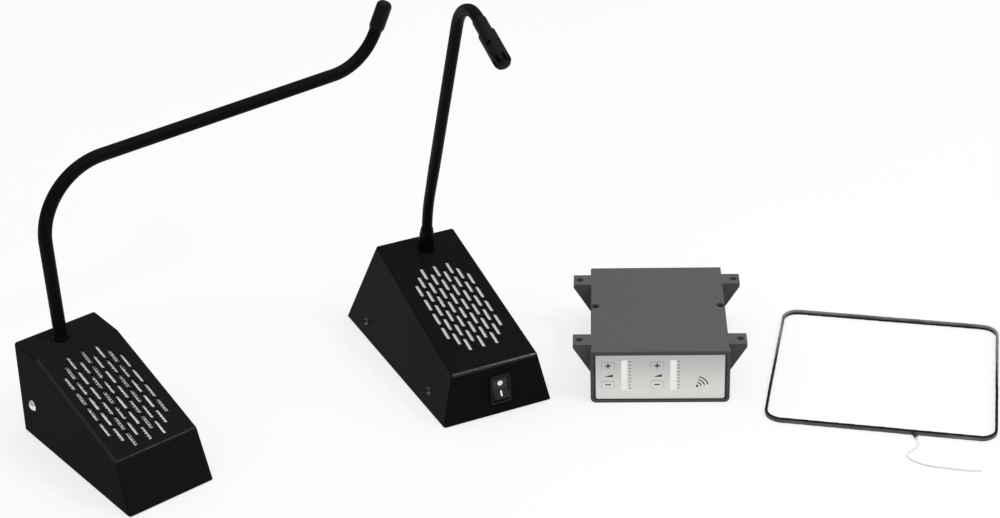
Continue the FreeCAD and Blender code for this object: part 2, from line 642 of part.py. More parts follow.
def amp_case():
    """The two shells, before and after they are parted at the split."""
    half = AMP_DEPTH / 2
    outer = case_tube(AMP_WIDTH, 0, AMP_HEIGHT, AMP_BOTTOM_RADIUS, AMP_TOP_RADIUS, (-half, half))
    outer = outer.fuse(front_rim()).removeSplitter()
    cavity = case_tube(CAVITY_WIDTH, CAVITY_LOW, CAVITY_HIGH, 2.0, 1.0, (-half - 1, half + 1))
    case = outer.cut(cavity)
    for sign in (-1, 1):
        pocket = sorted((sign * (half + 1), sign * (half - PANEL_INSET - PANEL_THICK - PANEL_CLEARANCE)))
        case = case.cut(panel_block(0, pocket))
    columns = []
    for sign in (-1, 1):
        x = sign * CASE_SCREW_X
        wall = box(sorted((x, sign * (AMP_WIDTH / 2 - 1))), (CASE_SCREW_Y - 3.5, CASE_SCREW_Y + 3.5),
                   (CAVITY_LOW - 1, CAVITY_HIGH + 1))
        columns += [cylinder(3.5, (CAVITY_LOW - 1, CAVITY_HIGH + 1), x, CASE_SCREW_Y), wall]
    inside = outer.common(Part.makeCompound(columns))
    case = case.multiFuse([inside]).removeSplitter()
    lugs = []
    for sx in (-1, 1):
        for sy in (-1, 1):
            lugs += lug(sx, sy)
    upper = case.common(box((-100, 100), (-100, 100), (AMP_SPLIT, 100))).multiFuse(lugs).removeSplitter()
    lower = case.common(box((-100, 100), (-100, 100), (-1, AMP_SPLIT)))
    upper_cuts, lower_cuts = [], []
    for sx in (-1, 1):
        x = sx * CASE_SCREW_X
        sink = (AMP_HEIGHT - 4.5, AMP_HEIGHT + 1)
        upper_cuts.append(cylinder(CASE_SCREW_HEAD + 0.1, sink, x, CASE_SCREW_Y))
        upper_cuts.append(cylinder(CASE_SCREW_SHANK + 0.15, (0, AMP_HEIGHT), x, CASE_SCREW_Y))
        lower_cuts.append(cylinder(CASE_SCREW_SHANK, (8, AMP_HEIGHT), x, CASE_SCREW_Y))
        for sy in (-1, 1):
            upper_cuts.append(cylinder(LUG_HOLE_RADIUS, (30, 50), sx * LUG_HOLE_X, sy * LUG_CENTRE))
    posts = [cylinder(3.0, (CAVITY_LOW - 0.5, BOARD_Z), x, y) for x, y in board_posts()]
    pilots = [cylinder(1.25, (3.5, 20), x, y) for x, y in board_posts()]
    lower = lower.cut(lower_cuts).multiFuse(posts).cut(pilots)
    return upper.cut(upper_cuts), lower


def lug(sx, sy):
    """A mounting lug: a top plate on two triangular webs, flush with the top of the case."""
    wall, foot = AMP_WIDTH / 2 - 1, AMP_SPLIT
    low, high = sy * LUG_CENTRE - LUG_WIDTH / 2, sy * LUG_CENTRE + LUG_WIDTH / 2
    plate = box(sorted((sx * wall, sx * LUG_REACH)), (low, high), (AMP_HEIGHT - LUG_PLATE, AMP_HEIGHT))
    outer_edges = [e for e in plate.Edges if abs(e.CenterOfMass.x) > LUG_REACH - 1]
    plate = plate.makeFillet(0.8, [e for e in outer_edges if abs(e.tangentAt(e.FirstParameter).z) > 0.9])
    webs = []
    for y in (low, high - LUG_WEB):
        outline = [V(sx * wall, y, AMP_HEIGHT - 1), V(sx * (LUG_REACH - 0.3), y, AMP_HEIGHT - 1),
                   V(sx * (LUG_REACH - 0.3), y, AMP_HEIGHT - LUG_PLATE), V(sx * AMP_WIDTH / 2, y, foot),
                   V(sx * wall, y, foot)]
        webs.append(prism(outline, Y * LUG_WEB))
    return [plate] + webs


def board_posts():
    return [(sx * 36, sy * 38) for sx in (-1, 1) for sy in (-1, 1)]


def case_screws():
    screws = []
    for sx in (-1, 1):
        x, top = sx * CASE_SCREW_X, AMP_HEIGHT - 2.0
        head = cylinder(CASE_SCREW_HEAD, (top - 2.2, top), x, CASE_SCREW_Y)
        shank = cylinder(CASE_SCREW_SHANK, (10, top - 1), x, CASE_SCREW_Y)
        slots = [box((x - 1.7, x + 1.7), (CASE_SCREW_Y - 0.35, CASE_SCREW_Y + 0.35), (top - 1.2, top + 1)),
                 box((x - 0.35, x + 0.35), (CASE_SCREW_Y - 1.7, CASE_SCREW_Y + 1.7), (top - 1.2, top + 1))]
        screws.append(join([head, shank]).cut(slots))
    return Part.makeCompound(screws)


def end_panel(sign):
    """A front or back panel in its pocket: X across, its outer face towards sign * Y."""
    face = sign * (AMP_DEPTH / 2 - PANEL_INSET - 0.1)
    return panel_block(PANEL_CLEARANCE, sorted((face, face - sign * PANEL_THICK)))


def on_front(shape, x, z):
    """A shape made with Z out of the panel, put on the front panel's face."""
    face = -(AMP_DEPTH / 2 - PANEL_INSET - 0.1)
    return placed(shape, frame_at(V(x, face, z), X, V(0, -1, 0)))


def key_cap():
    """A key: cap through the panel, a wider foot behind it and a stem to its switch."""
    cap = rounded(KEY_WIDTH, KEY_HEIGHT, KEY_RADIUS, (-PANEL_THICK - 0.3, 0.15))
    foot = rounded(KEY_WIDTH + 2, KEY_HEIGHT + 1.6, KEY_RADIUS, (-PANEL_THICK - 1.1, -PANEL_THICK - 0.2))
    stem = cylinder(1.3, (-PANEL_THICK - 2.0, -PANEL_THICK - 1.0))
    return join([cap, foot, stem])


def front_panel():
    panel = end_panel(-1)
    hole = rounded(KEY_WIDTH + 2 * KEY_CLEARANCE, KEY_HEIGHT + 2 * KEY_CLEARANCE, KEY_RADIUS + KEY_CLEARANCE,
                   (-PANEL_THICK - 1, 1))
    cuts = [on_front(hole, x, z) for x in KEY_COLUMNS.values() for z in KEY_ROWS.values()]
    for x in LIGHT_BAR_X:
        height = LIGHT_BAR_HIGH - LIGHT_BAR_LOW + 0.2
        window = rounded(LIGHT_BAR_WIDTH + 0.2, height, 1.0, (-PANEL_THICK - 1, 1))
        cuts.append(on_front(window, x, (LIGHT_BAR_LOW + LIGHT_BAR_HIGH) / 2))
    return panel.cut(cuts)


def light_bars():
    lens = rounded(LIGHT_BAR_WIDTH, LIGHT_BAR_HIGH - LIGHT_BAR_LOW, 0.9, (-PANEL_THICK - 0.6, -0.1))
    middle = (LIGHT_BAR_LOW + LIGHT_BAR_HIGH) / 2
    return Part.makeCompound([on_front(lens, x, middle) for x in LIGHT_BAR_X])


def key_board():
    """Upright board behind the front panel, with four key switches and two lamp blocks."""
    gap = KEY_TRAVEL + 0.2
    switch_face = -PANEL_THICK - 2.0 - gap
    board_face = switch_face - 3.0
    pieces = [on_front(box((-42, 22), (-14.5, 14.5), (board_face - BOARD, board_face)), 0, 21.5)]
    for x in KEY_COLUMNS.values():
        for z in KEY_ROWS.values():
            pieces.append(on_front(box((-3, 3), (-3, 3), (board_face, switch_face - 0.6)), x, z))
            pieces.append(on_front(cylinder(1.6, (switch_face - 1.0, switch_face)), x, z))
    for x in LIGHT_BAR_X:
        pieces.append(on_front(box((-2.4, 2.4), (-11.5, 11.5), (board_face, -PANEL_THICK - 0.8)), x, 21.35))
    return join(pieces)


def main_board():
    """Main board on its posts, with its larger parts."""
    half_width, half_depth = 41.0, 47.0
    board = box((-half_width, half_width), (-half_depth + 4, half_depth + 2), (BOARD_Z, BOARD_Z + BOARD))
    beside_screw = (CASE_SCREW_Y - 5, CASE_SCREW_Y + 5)
    notches = [box(sorted((sx * 38.5, sx * 50)), beside_screw, (0, 20)) for sx in (-1, 1)]
    board = board.cut(notches).cut([cylinder(1.4, (0, 20), x, y) for x, y in board_posts()])
    top = BOARD_Z + BOARD
    parts = [board]
    for x, y, radius, height in ((-24, 20, 5, 13), (-12, 20, 5, 13), (24, -14, 4, 9), (14, -30, 3, 7)):
        parts.append(cylinder(radius, (top - 0.1, top + height), x, y))
    for x, y, half_x, half_y, height in ((0, -8, 7, 7, 1.6), (20, 8, 4.5, 6, 2.2), (-20, -14, 5, 3.5, 1.8)):
        parts.append(box((x - half_x, x + half_x), (y - half_y, y + half_y), (top - 0.1, top + height)))
    fins = [box((-6 + 3 * i, -4.8 + 3 * i), (24, 36), (top - 0.1, top + 14)) for i in range(7)]
    parts += fins + [box((-6, 13.2), (29, 31), (top - 0.1, top + 14))]
    return join(parts)


def fitting_face():
    return AMP_DEPTH / 2 - PANEL_INSET - 0.1


def modular_socket(x):
    """A modular socket on the main board, its mouth in the back panel."""
    face = fitting_face()
    low = FITTING_Z
    body = box((x - 7.4, x + 7.4), (face - 15, face + 0.2), (low, low + 12.6))
    mouth = box((x - 5.9, x + 5.9), (face - 12, face + 1), (low + 2.2, low + 9.0))
    latch = box((x - 3.1, x + 3.1), (face - 12, face + 1), (low + 8.9, low + 11.2))
    contacts = [box((x - 3.5 + 1.4 * i - 0.25, x - 3.5 + 1.4 * i + 0.25), (face - 12.1, face - 5),
                    (low + 2.0, low + 2.9)) for i in range(6)]
    return body.cut([mouth, latch]).multiFuse(contacts).removeSplitter()


def power_jack():
    """A round power inlet with its centre pin."""
    face = fitting_face()
    low = FITTING_Z
    middle = low + 6.0
    body = box((JACK_X - 4.6, JACK_X + 4.6), (face - 14, face + 0.2), (low, low + 11))
    hole = Part.makeCylinder(3.15, 10.2, V(JACK_X, face - 10, middle), Y)
    pin = Part.makeCylinder(1.0, 9.5, V(JACK_X, face - 10.5, middle), Y)
    return body.cut(hole).fuse(pin)


def loop_terminal():
    """A two-way screw terminal for the loop's lead."""
    face = fitting_face()
    low = FITTING_Z
    body = box((TERMINAL_X - 5.5, TERMINAL_X + 5.5), (face - 10, face + 1.0), (low, low + 10.5))
    cuts = []
    for x in (TERMINAL_X - 2.54, TERMINAL_X + 2.54):
        cuts.append(box((x - 1.3, x + 1.3), (face - 6, face + 2), (low + 1.6, low + 4.4)))
        cuts.append(cylinder(1.6, (low + 8.6, low + 12), x, face - 4.5))
    return body.cut(cuts)


def back_panel():
    """The back panel with a window for each fitting."""
    panel = end_panel(1)
    low = FITTING_Z
    windows = [(JACK_X, 4.7, 11.1), (TERMINAL_X, 5.6, 10.6)] + [(x, 7.5, 12.7) for x in SOCKETS_X]
    cuts = [box((x - half, x + half), (40, 70), (low - 0.1, low + high)) for x, half, high in windows]
    return panel.cut(cuts)


# ---------------------------------------------------------------- induction loop


def loop_ring(inset_by, z, radius_of_edge=0.0):
    """A flat rounded ring, inset on both sides, between two heights."""
    outer = rounded(LOOP_WIDTH - 2 * inset_by, LOOP_DEPTH - 2 * inset_by, LOOP_CORNER - inset_by, z)
    hole = LOOP_BAND - inset_by
    inner = rounded(LOOP_WIDTH - 2 * hole, LOOP_DEPTH - 2 * hole, LOOP_CORNER - hole, (z[0] - 1, z[1] + 1))
    ring = outer.cut(inner)
    if radius_of_edge:
        ring = ring.makeFillet(radius_of_edge, [e for e in ring.Edges if abs(e.BoundBox.ZLength) < 1e-6])
    ring.translate(V(0, LOOP_DEPTH / 2, 0))
    return ring


def lead_exit_frame():
    turn = math.radians(LEAD_EXIT_TURN)
    heading = V(math.sin(turn), -math.cos(turn), 0)
    return frame_at(V(LEAD_EXIT_X, 0, LOOP_HEIGHT / 2), Z, heading)


def lead_radii(points):
    """Each arc of the lead as large as its two runs allow."""
    radii = []
    for before, corner, after in zip(points, points[1:], points[2:]):
        turn = (corner - before).getAngle(after - corner)
        shorter = min((corner - before).Length, (after - corner).Length)
        radii.append(0.45 * shorter / math.tan(turn / 2))
    return radii


# ---------------------------------------------------------------- the devices


def unit_common(name, profile, side, slots, screws, head, drive, foot_places, flange_tops, neck_place):
    """What both speaking units have: housing, base, feet, grille, speaker and cable grommet."""
    slope = slope_frame(profile, slots["t"])
    parts = {
        "housing": housing(profile, side, slots, screws, neck_place),
        "base_plate": base_plate(profile, side, screws, flange_tops),
        "side_screws": side_screws(side, screws, head, drive),
        "feet": feet(foot_places),
        "grille": placed(grille_sheet(), slope),
        "cable_grommet": placed(grommet(), back_frame(profile, GROMMET_Z)),
        "neck_nut": placed(ferrule_nut(), neck_place),
    }
    parts.update({key: placed(shape, slope) for key, shape in speaker().items()})
    return {f"{name}_{key}": shape for key, shape in parts.items()}


def staff_unit():
    neck_place = slope_frame(STAFF_PROFILE, STAFF_NECK_T, STAFF_NECK_X)
    tops = [(14, PLATE_Z + PLATE), (158, FLANGE_TOP), (200, PLATE_Z + PLATE)]
    parts = unit_common("staff", STAFF_PROFILE, STAFF_SIDE, STAFF_SLOTS, STAFF_SCREWS, STAFF_SCREW_HEAD,
                        hexagon(2.0, (0.5, 3)), STAFF_FEET, tops, neck_place)
    (y0, z0), (y1, z1) = STAFF_PROFILE[:2]
    up_front = V(0, y1 - y0, z1 - z0).normalize()
    front = frame_at(V(SWITCH_X, y0 + (y1 - y0) * SWITCH_Z / z1, SWITCH_Z), X, X.cross(up_front))
    window = box((-SWITCH_WIDTH / 2 - 0.1, SWITCH_WIDTH / 2 + 0.1),
                 (-SWITCH_HEIGHT / 2 - 0.1, SWITCH_HEIGHT / 2 + 0.1), (-5, 5))
    parts["staff_housing"] = parts["staff_housing"].cut(placed(window, front))
    parts["staff_switch_body"] = placed(switch_body(), front)
    parts["staff_switch_rocker"] = placed(switch_rocker(), front)
    parts["staff_switch_tabs"] = placed(switch_tabs(), front)
    standoffs = [cylinder(2.5, (PLATE_Z + PLATE - 0.1, 8), x, y) for x in (-16, 16) for y in (98, 134)]
    parts["staff_base_plate"] = parts["staff_base_plate"].multiFuse(standoffs)
    board = [box((-20, 20), (94, 138), (8, 8 + BOARD))]
    board += [box((x - 5, x + 5), (126, 134), (9.5, 17)) for x in (-9, 9)]
    board += [box((-7, 7), (104, 116), (9.5, 12)), cylinder(3, (9.5, 17), -14, 110)]
    parts["staff_circuit_board"] = join(board)
    parts["staff_neck_ferrule"] = placed(ferrule(STAFF_FERRULE, STAFF_NECK_RADIUS), neck_place)
    foot = neck_place.Base
    start = [foot, foot + neck_place.Rotation.multVec(Z) * STAFF_NECK_RISE]
    wire = route_wire(start + [V(STAFF_NECK_X, y, z) for y, z in STAFF_NECK_ROUTE], STAFF_NECK_BENDS)
    cuts = [SEAT_DEPTH, STAFF_FLEX_FROM, STAFF_FLEX_TO, STAFF_TIP_FLEX_FROM, wire.Length]
    parts.update(neck_pieces("staff", wire, STAFF_NECK_RADIUS, cuts, ["lower", "flex", "stem", "tip_flex"]))
    mic_place = mic_frame(wire, X)
    body, capsule = staff_microphone()
    parts["staff_mic_body"] = placed(body, mic_place)
    parts["staff_mic_capsule"] = placed(capsule, mic_place)
    print("staff neck length", round(wire.Length, 1))
    return parts


def customer_unit():
    top = CUSTOMER_PROFILE[2][1]
    neck_place = frame_at(V(CUSTOMER_NECK_ROUTE[0][0], CUSTOMER_NECK_Y, top), X, Z)
    tops = [(14, PLATE_Z + PLATE), (112, 12.0), (133, 33.0), (200, PLATE_Z + PLATE)]
    pin_holes = Part.makeCompound([cylinder(0.5, (0.9, 4), x, 0) for x in (-1.3, 1.3)])
    parts = unit_common("customer", CUSTOMER_PROFILE, CUSTOMER_SIDE, CUSTOMER_SLOTS, CUSTOMER_SCREWS,
                        CUSTOMER_SCREW_HEAD, pin_holes, CUSTOMER_FEET, tops, neck_place)
    parts["customer_neck_ferrule"] = placed(ferrule(CUSTOMER_FERRULE, CUSTOMER_NECK_RADIUS), neck_place)
    wire = route_wire([V(x, CUSTOMER_NECK_Y, z) for x, z in CUSTOMER_NECK_ROUTE], CUSTOMER_NECK_BENDS)
    cuts = [SEAT_DEPTH, CUSTOMER_FLEX_FROM, CUSTOMER_FLEX_TO, CUSTOMER_TIP_FLEX_FROM, wire.Length]
    names = ["lower", "flex", "arm", "tip_flex"]
    parts.update(neck_pieces("customer", wire, CUSTOMER_NECK_RADIUS, cuts, names))
    mic_place = mic_frame(wire, Y)
    body, capsule = customer_microphone()
    parts["customer_mic_body"] = placed(body, mic_place)
    parts["customer_mic_capsule"] = placed(capsule, mic_place)
    print("customer neck length", round(wire.Length, 1))
    return parts


def amplifier():
    upper, lower = amp_case()
    parts = {
        "amp_case_upper": upper,
        "amp_case_lower": lower,
        "amp_case_screws": case_screws(),
        "amp_front_panel": front_panel(),
        "amp_light_bars": light_bars(),
        "amp_key_board": key_board(),
        "amp_main_board": main_board(),
        "amp_back_panel": back_panel(),
        "amp_power_jack": power_jack(),
        "amp_unit_sockets": Part.makeCompound([modular_socket(x) for x in SOCKETS_X]),
        "amp_loop_terminal": loop_terminal(),
    }
    for column, x in KEY_COLUMNS.items():
        for row, z in KEY_ROWS.items():
            parts[f"amp_key_{column}_{row}"] = on_front(key_cap(), x, z)
    return parts


def induction_loop():
    sleeve = loop_ring(0.0, (0, LOOP_HEIGHT), 0.6)
    cavity = loop_ring(LOOP_SKIN, (LOOP_SKIN, LOOP_HEIGHT - LOOP_SKIN))
    play = LOOP_SKIN + LOOP_PLAY
    winding = loop_ring(play, (play, LOOP_HEIGHT - play))
    exit_place = lead_exit_frame()
    way_out = placed(cylinder(LEAD_RADIUS, (-LEAD_IN_SLEEVE, 1)), exit_place)
    collar = cylinder(LEAD_EXIT_RADIUS, (-1, LEAD_EXIT_LENGTH)).cut(cylinder(LEAD_RADIUS, (-2, 9)))
    collar = placed(collar, exit_place).cut(box((-50, 50), (0, 50), (-10, 10)))
    heading = exit_place.Rotation.multVec(Z)
    points = [exit_place.Base + heading * distance for distance in (-LEAD_IN_SLEEVE, LEAD_STRAIGHT)]
    points += [V(*p) for p in LEAD_ROUTE]
    radii = lead_radii(points)
    wire = route_wire(points, radii)
    lead = tube(wire, LEAD_RADIUS)
    print("lead start", points[0], points[1])
    print("lead arc radii", [round(r, 1) for r in radii], "length", round(wire.Length, 1))
    section = math.pi * LEAD_RADIUS**2
    print("lead volume over section times length", round(lead.Volume / (section * wire.Length), 4))
    last = points[-1]
    tip = Part.makeCylinder(LEAD_TIP_RADIUS, LEAD_TIP_LENGTH, last, last - points[-2])
    return {
        "loop_sleeve": sleeve.cut([cavity, way_out]),
        "loop_winding": winding,
        "loop_lead_exit": collar,
        "loop_lead": lead,
        "loop_lead_tip": tip,
    }


def main():
    os.makedirs("parts", exist_ok=True)
    devices = [
        (staff_unit(), device_at(*STAFF_PLACE)),
        (customer_unit(), device_at(*CUSTOMER_PLACE)),
        (amplifier(), FreeCAD.Placement()),
        (induction_loop(), device_at(*LOOP_PLACE)),
    ]
    for parts, place in devices:
        for name, shape in parts.items():
            moved = placed(shape, place)
            solids = len(moved.Solids)
            if not moved.isValid() or solids == 0:
                print("CHECK", name, "valid", moved.isValid(), "solids", solids)
            moved.exportStep(f"parts/{name}.step")
    print("nodes", sum(len(parts) for parts, _ in devices))


main()
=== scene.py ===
# %% [markdown]
# # A teller window intercom
#
# Four devices stand on one counter: a unit for the clerk and a unit for the customer, each a bent steel
# wedge with a loudspeaker and a gooseneck microphone, a small amplifier, and a flat induction loop for
# hearing aids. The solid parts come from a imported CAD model. This lesson gives them their finishes and adds
# the pieces that a solid can't show: smooth gooseneck sleeves, woven wire behind the slots, printed marks,
# a taped loop and its thin lead.

# %% Load the frame
import math

import bmesh
import bpy
from mathutils import Matrix, Vector


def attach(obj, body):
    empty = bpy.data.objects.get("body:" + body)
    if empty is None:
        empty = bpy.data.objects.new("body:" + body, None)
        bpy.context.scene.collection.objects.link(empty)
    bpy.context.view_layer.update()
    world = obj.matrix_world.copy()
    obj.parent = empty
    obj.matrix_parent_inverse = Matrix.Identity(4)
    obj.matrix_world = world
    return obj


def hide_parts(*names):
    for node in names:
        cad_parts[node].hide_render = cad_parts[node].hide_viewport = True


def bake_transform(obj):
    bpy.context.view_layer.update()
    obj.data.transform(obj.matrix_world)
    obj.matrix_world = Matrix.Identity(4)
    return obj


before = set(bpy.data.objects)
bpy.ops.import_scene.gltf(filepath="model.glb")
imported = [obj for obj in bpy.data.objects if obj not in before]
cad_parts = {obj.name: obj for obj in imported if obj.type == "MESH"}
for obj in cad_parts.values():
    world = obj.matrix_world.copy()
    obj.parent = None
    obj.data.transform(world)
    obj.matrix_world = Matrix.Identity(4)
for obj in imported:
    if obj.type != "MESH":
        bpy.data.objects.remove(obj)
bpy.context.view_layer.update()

# %% [markdown]
# ## Where each device stands
#
# The CAD model is in millimetres and Blender is in metres, so every size below is written in millimetres
# and goes through one helper. Each device has a frame of its own, x to its right, y from its front to its
# back, z up. A matrix turns it and puts it in its place on the counter.

# %% Device frames
MM = 0.001


def mm(*numbers):
    """A point or a size in millimetres, as a vector in metres."""
    return Vector(numbers) * MM


def device(x, y, turn):
    return Matrix.Translation(mm(x, y, 0)) @ Matrix.Rotation(math.radians(turn), 4, "Z")


STAFF = device(-111.6, -72.8, 26.5)
CUSTOMER = device(-320.3, -170.4, 41.6)
AMPLIFIER = device(0.0, 0.0, 0.0)
LOOP = device(145.5, -96.8, -10.2)


def face_frame(place, origin, across, up):
    """The matrix of a flat face: x across it, y up it, z out of it."""
    across, up = Vector(across).normalized(), Vector(up).normalized()
    out = across.cross(up)
    turn = Matrix((across, up, out)).transposed().to_4x4()
    return place @ Matrix.Translation(mm(*origin)) @ turn


# %% [markdown]
# ## The camera
#
# A product picture like this is taken from a step back with a short telephoto lens, so that upright edges
# stay nearly parallel. The camera is placed by the direction it looks from, its distance and a slight roll.

# %% Camera
VIEW_AZIMUTH, VIEW_ELEVATION, VIEW_ROLL = -3.35, 29.11, -2.17
VIEW_DISTANCE, VIEW_LENS, VIEW_REACH = 1571.5, 72.0, 50.0
VIEW_TARGET = (-119.3, 147.46, 0.0)


def look_from(azimuth, elevation, roll, distance, target):
    """Camera matrix for a view over the front, turned right by the azimuth and down by the elevation."""
    azimuth, elevation, roll = (math.radians(angle) for angle in (azimuth, elevation, roll))
    ahead = Vector((math.sin(azimuth), math.cos(azimuth), 0))
    back = Vector((0, 0, math.sin(elevation))) - ahead * math.cos(elevation)
    right = Vector((math.cos(azimuth), -math.sin(azimuth), 0))
    up = back.cross(right)
    rolled_right = right * math.cos(roll) + up * math.sin(roll)
    rolled_up = up * math.cos(roll) - right * math.sin(roll)
    turn = Matrix((rolled_right, rolled_up, back)).transposed().to_4x4()
    return Matrix.Translation(mm(*target) + back * distance * MM) @ turn


lens = bpy.data.cameras.new("camera")
lens.lens = VIEW_LENS
lens.clip_end = VIEW_REACH
camera = bpy.data.objects.new("camera", lens)
camera.matrix_world = look_from(VIEW_AZIMUTH, VIEW_ELEVATION, VIEW_ROLL, VIEW_DISTANCE, VIEW_TARGET)
bpy.context.scene.collection.objects.link(camera)
bpy.context.scene.camera = camera
bpy.context.scene.view_settings.view_transform = "Standard"
print("camera stands at", [round(value, 3) for value in camera.location])

# %% [markdown]
# ## Nodes written as sums
#
# Shaders and Geometry Nodes are both made of small maths steps. A thin wrapper around a socket lets those
# steps be written as ordinary Python expressions, which are far easier to read than lists of links.

# %% Node helpers


class Wire:
    """A node's output that can take part in sums."""

    def __init__(self, graph, socket):
        self.graph, self.socket = graph, socket

    def maths(self, operation, *others):
        return self.graph.add("ShaderNodeMath", dict(enumerate((self,) + others)), operation=operation)

    def __add__(self, other):
        return self.maths("ADD", other)

    def __mul__(self, other):
        return self.maths("MULTIPLY", other)

    def __sub__(self, other):
        return self.maths("SUBTRACT", other)

    def __truediv__(self, other):
        return self.maths("DIVIDE", other)

    def __rsub__(self, other):
        return self * -1.0 + other

    def out(self, name):
        """Another output of the same node."""
        return Wire(self.graph, self.socket.node.outputs[name])


class Graph:
    """A node tree that nodes are added to by type, inputs and settings."""

    def __init__(self, tree):
        self.tree = tree

    def add(self, kind, inputs=None, output=0, **settings):
        node = self.tree.nodes.new(kind)
        for name, value in settings.items():
            setattr(node, name, value)
        for name, value in (inputs or {}).items():
            if isinstance(value, Wire):
                self.tree.links.new(value.socket, node.inputs[name])
            else:
                node.inputs[name].default_value = value
        return Wire(self, node.outputs[output])

    def part(self, vector, axis):
        """One coordinate of a vector."""
        return self.add("ShaderNodeSeparateXYZ", {0: vector}).out(axis)

    def vector_maths(self, operation, first, second=None):
        """A sum on vectors. A length or a dot product comes out as a number."""
        inputs = {0: first}
        if second is not None:
            inputs["Scale" if operation == "SCALE" else 1] = second
        output = 1 if operation in ("LENGTH", "DOT_PRODUCT") else 0
        return self.add("ShaderNodeVectorMath", inputs, output, operation=operation)


# %% [markdown]
# Geometry Nodes make whatever repeats or follows a rule. A recipe is a tree with named inputs for its sizes.
# It is run once on an empty mesh, and the result is kept as a plain mesh in its place on the object.

# %% Geometry Nodes helper
SHARP_ANGLE = 35


class Recipe(Graph):
    """A Geometry Nodes tree whose inputs are the sizes it is given, in metres or as plain numbers."""

    def __init__(self, name, **sizes):
        super().__init__(bpy.data.node_groups.new(name, "GeometryNodeTree"))
        self.sizes = sizes
        self.tree.interface.new_socket("Geometry", in_out="OUTPUT", socket_type="NodeSocketGeometry")
        for size in sizes:
            self.tree.interface.new_socket(size, in_out="INPUT", socket_type="NodeSocketFloat")
        self.entry = self.tree.nodes.new("NodeGroupInput")

    def size(self, name):
        return Wire(self, self.entry.outputs[name])

    def vector(self, x=0.0, y=0.0, z=0.0):
        return self.add("ShaderNodeCombineXYZ", {"X": x, "Y": y, "Z": z})

    def moved(self, geometry, offset):
        return self.add("GeometryNodeSetPosition", {"Geometry": geometry, "Offset": offset})

    def kept(self, geometry, name, value):
        """The geometry with a number stored on each of its points."""
        return self.add("GeometryNodeStoreNamedAttribute",
                        {"Geometry": geometry, "Name": name, "Value": value},
                        data_type="FLOAT", domain="POINT")

    def stored(self, name):
        return self.add("GeometryNodeInputNamedAttribute", {"Name": name}, data_type="FLOAT")

    def made(self, name, geometry, material, place, smooth_angle=SHARP_ANGLE):
        """Finish the tree, run it and keep what it makes as a plain mesh at the place."""
        whole = self.add("GeometryNodeRealizeInstances", {"Geometry": geometry})
        dressed = self.add("GeometryNodeSetMaterial", {"Geometry": whole, "Material": material})
        ending = self.tree.nodes.new("NodeGroupOutput")
        self.tree.links.new(dressed.socket, ending.inputs["Geometry"])
        made = bpy.data.objects.new(name, bpy.data.meshes.new(name))
        bpy.context.scene.collection.objects.link(made)
        modifier = made.modifiers.new("recipe", "NODES")
        modifier.node_group = self.tree
        for item in self.tree.interface.items_tree:
            if item.in_out == "INPUT":
                modifier[item.identifier] = float(self.sizes[item.name])
        view = bpy.context.evaluated_depsgraph_get()
        result = bpy.data.meshes.new_from_object(made.evaluated_get(view), depsgraph=view)
        made.modifiers.remove(modifier)
        made.data = result
        made.data.transform(place)
        made.data.shade_smooth()
        made.data.set_sharp_from_angle(angle=math.radians(smooth_angle))
        return made


# %% [markdown]
# ## The lead of the loop comes first
#
# The loop's thin white lead is a free cord: it leaves a small collar, drops to the counter and lies there
# in a loose S, bare at its end. A quadratic NURBS curve runs smoothly inside the corners of its control
# points, so a dozen points are enough for a natural curve.

# %% Lead
LEAD_RADIUS, LEAD_LENGTH = 0.6, 75.3
LEAD_POINTS = [
    (22.633, 0.134, 2.0), (25.823, -6.265, 2.0), (26.7, -9.5, 1.5), (25.9, -14.0, 0.8), (22.1, -19.0, 0.65),
    (19.5, -23.5, 0.65), (21.1, -28.3, 0.65), (26.1, -31.7, 0.65), (32.3, -33.7, 0.65), (39.2, -35.0, 0.65),
    (47.2, -34.8, 0.65), (55.7, -35.7, 0.65), (64.0, -34.9, 0.65),
]


def smooth_curve(name, points, radius):
    """A round curve whose control points are these points in metres. Its points carry the radius, because
    Blender takes them into the curve's box at the size that they have."""
    data = bpy.data.curves.new(name, "CURVE")
    data.dimensions = "3D"
    spline = data.splines.new("NURBS")
    spline.points.add(len(points) - 1)
    for place, point in zip(spline.points, points):
        place.co = (*point, 1.0)
        place.radius = radius * MM
    spline.order_u = 3
    spline.use_endpoint_u = True
    data.bevel_depth = 1.0
    data.bevel_resolution = 4
    data.use_fill_caps = True
    made = bpy.data.objects.new(name, data)
    bpy.context.scene.collection.objects.link(made)
    return made


lead_points = [LOOP @ mm(*point) for point in LEAD_POINTS]
lead = smooth_curve("lead", lead_points, LEAD_RADIUS)
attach(lead, "loop")
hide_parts("loop_lead")
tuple(lead_points[0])
print("lead leaves the loop at", [round(value, 4) for value in lead_points[0]])

# %% [markdown]
# ## Finishes
#
# Every finish is procedural and reads Object coordinates, in metres, so a grain of half a millimetre needs
# a noise scale of about 2000. Painted, moulded and metal surfaces share one recipe: a base colour that
# drifts a little, a roughness that drifts with it, and a fine bump for the grain.

# %% Surface recipe


